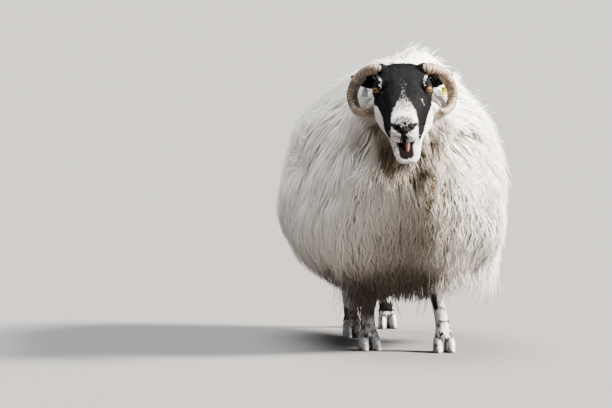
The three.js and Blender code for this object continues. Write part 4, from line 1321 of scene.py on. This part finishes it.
# ear tags: moulded polyurethane, satin, with scuffs about 4 mm across
tagMaterials = []
for word, plain, scuffed in (("left", "#d8cf2a", "#b6ad35"), ("right", "#868c95", "#5f656d")):
    material, tree, shader = newMaterial(word + "_tag_plastic")
    place = addNode(tree, "TexCoord", {}, "Object")
    scuffs = addNode(tree, "TexNoise", {"Vector": place, "Scale": 260.0, "Detail": 4.0, "Roughness": 0.55})
    worn = addNode(tree, "MapRange", {0: scuffs, 1: 0.45, 2: 0.75}, **smoothStep)
    setInputs(tree, shader, {
        "Base Color": addNode(tree, "Mix", {0: worn, 6: linear(plain), 7: linear(scuffed)}, **colourMix),
        "Normal": addNode(tree, "Bump", {"Height": scuffs, "Strength": 0.15, "Distance": 0.0003}),
        "Roughness": 0.42,
    })
    tagMaterials.append(material)


def finish(piece, material, slot, *replaced):
    piece.data.materials.clear()
    piece.data.materials.append(material)
    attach(piece, "root")
    if replaced:
        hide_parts(*replaced)


finish(skin, hideMaterial, "face", "head", "lower_jaw", "left_ear", "right_ear", "trunk", "neck", "tail",
       *legNames)
for piece in coat:
    finish(piece, woolMaterial, "wool")
finish(debris, stemMaterial, "wool")
finish(faceHair, hairMaterial, "face")
finish(napeWool, woolMaterial, "wool")
finish(legHair, hairMaterial, "leg")
for number, word in enumerate(("left", "right")):
    finish(eyeballs[number], eyeMaterial, "eye", word + "_eye")
    finish(lids[number], lidMaterial, "face")
    finish(horns[number], hornMaterials[number], "horn", word + "_horn")
    finish(tags[number], tagMaterials[number], ("yellow_tag", "grey_tag")[number], word + "_ear_tag")
finish(tongue, tongueMaterial, "tongue", "tongue")
for claw, name in zip(claws, clawNames):
    finish(claw, clawMaterial, "hoof", name)
print("materials")


# camera, floor and light

cameraSettings = {
    "target": (-0.2009, 0.1060, 0.334), "azimuth": -11, "elevation": 4, "distance": 12.0, "lens": 292.94,
    "sensor": 36.0, "farthest": 200.0,
}
azimuth, elevation = math.radians(cameraSettings["azimuth"]), math.radians(cameraSettings["elevation"])
level = math.cos(elevation)
towards = Vector((math.sin(azimuth) * level, -math.cos(azimuth) * level, math.sin(elevation)))
cameraData = bpy.data.cameras.new("camera")
cameraData.lens = cameraSettings["lens"]
cameraData.sensor_width = cameraSettings["sensor"]
cameraData.clip_end = cameraSettings["farthest"]
camera = bpy.data.objects.new("camera", cameraData)
camera.location = Vector(cameraSettings["target"]) + towards * cameraSettings["distance"]
camera.rotation_euler = towards.to_track_quat("Z", "Y").to_euler()
scene.collection.objects.link(camera)
scene.camera = camera

floorSettings = {"size": 160.0, "Base Color": linear("#504e4c"), "Roughness": 0.9}
bpy.ops.object.select_all(action="DESELECT")
bpy.ops.mesh.primitive_plane_add(size=floorSettings["size"])
floor = bpy.context.object
floor.name = "floor"
floorMaterial, tree, shader = newMaterial("floor_plain")
setInputs(tree, shader, {key: floorSettings[key] for key in ("Base Color", "Roughness")})
floor.data.materials.append(floorMaterial)

skySettings = {"Color": linear("#e6ebf2"), "Strength": 0.4}
world = bpy.data.worlds.new("studio")
scene.world = world
world.use_nodes = True
setInputs(world.node_tree, world.node_tree.nodes["Background"], skySettings)
lamps = [  # name, place to shine from, spread in degrees, strength and colour
    ("key", (5.8, -1.7, 4.4), 15, 50.0, "#fff8ee"),
    ("overhead", (-0.5, 0.9, 6.0), 40, 14.0, "#f4f6fa"),
    ("fill", (-3.0, -6.0, 2.6), 60, 0.5, "#eef3ff"),
]
middleHeight = 0.35  # where the lamps point, in metres
for name, place, spread, power, colour in lamps:
    lampData = bpy.data.lights.new(name, "SUN")
    lampData.angle = math.radians(spread)
    lampData.energy = power
    lampData.color = linear(colour)[:3]
    lamp = bpy.data.objects.new(name, lampData)
    lamp.location = place
    lamp.rotation_euler = (Vector(place) - Vector((0, 0, middleHeight))).to_track_quat("Z", "Y").to_euler()
    scene.collection.objects.link(lamp)

counts = [len(each.data.loops) - 2 * len(each.data.polygons) for each in scene.objects if each.type == "MESH"]
print("triangles", sum(counts), "most in one piece", max(counts))
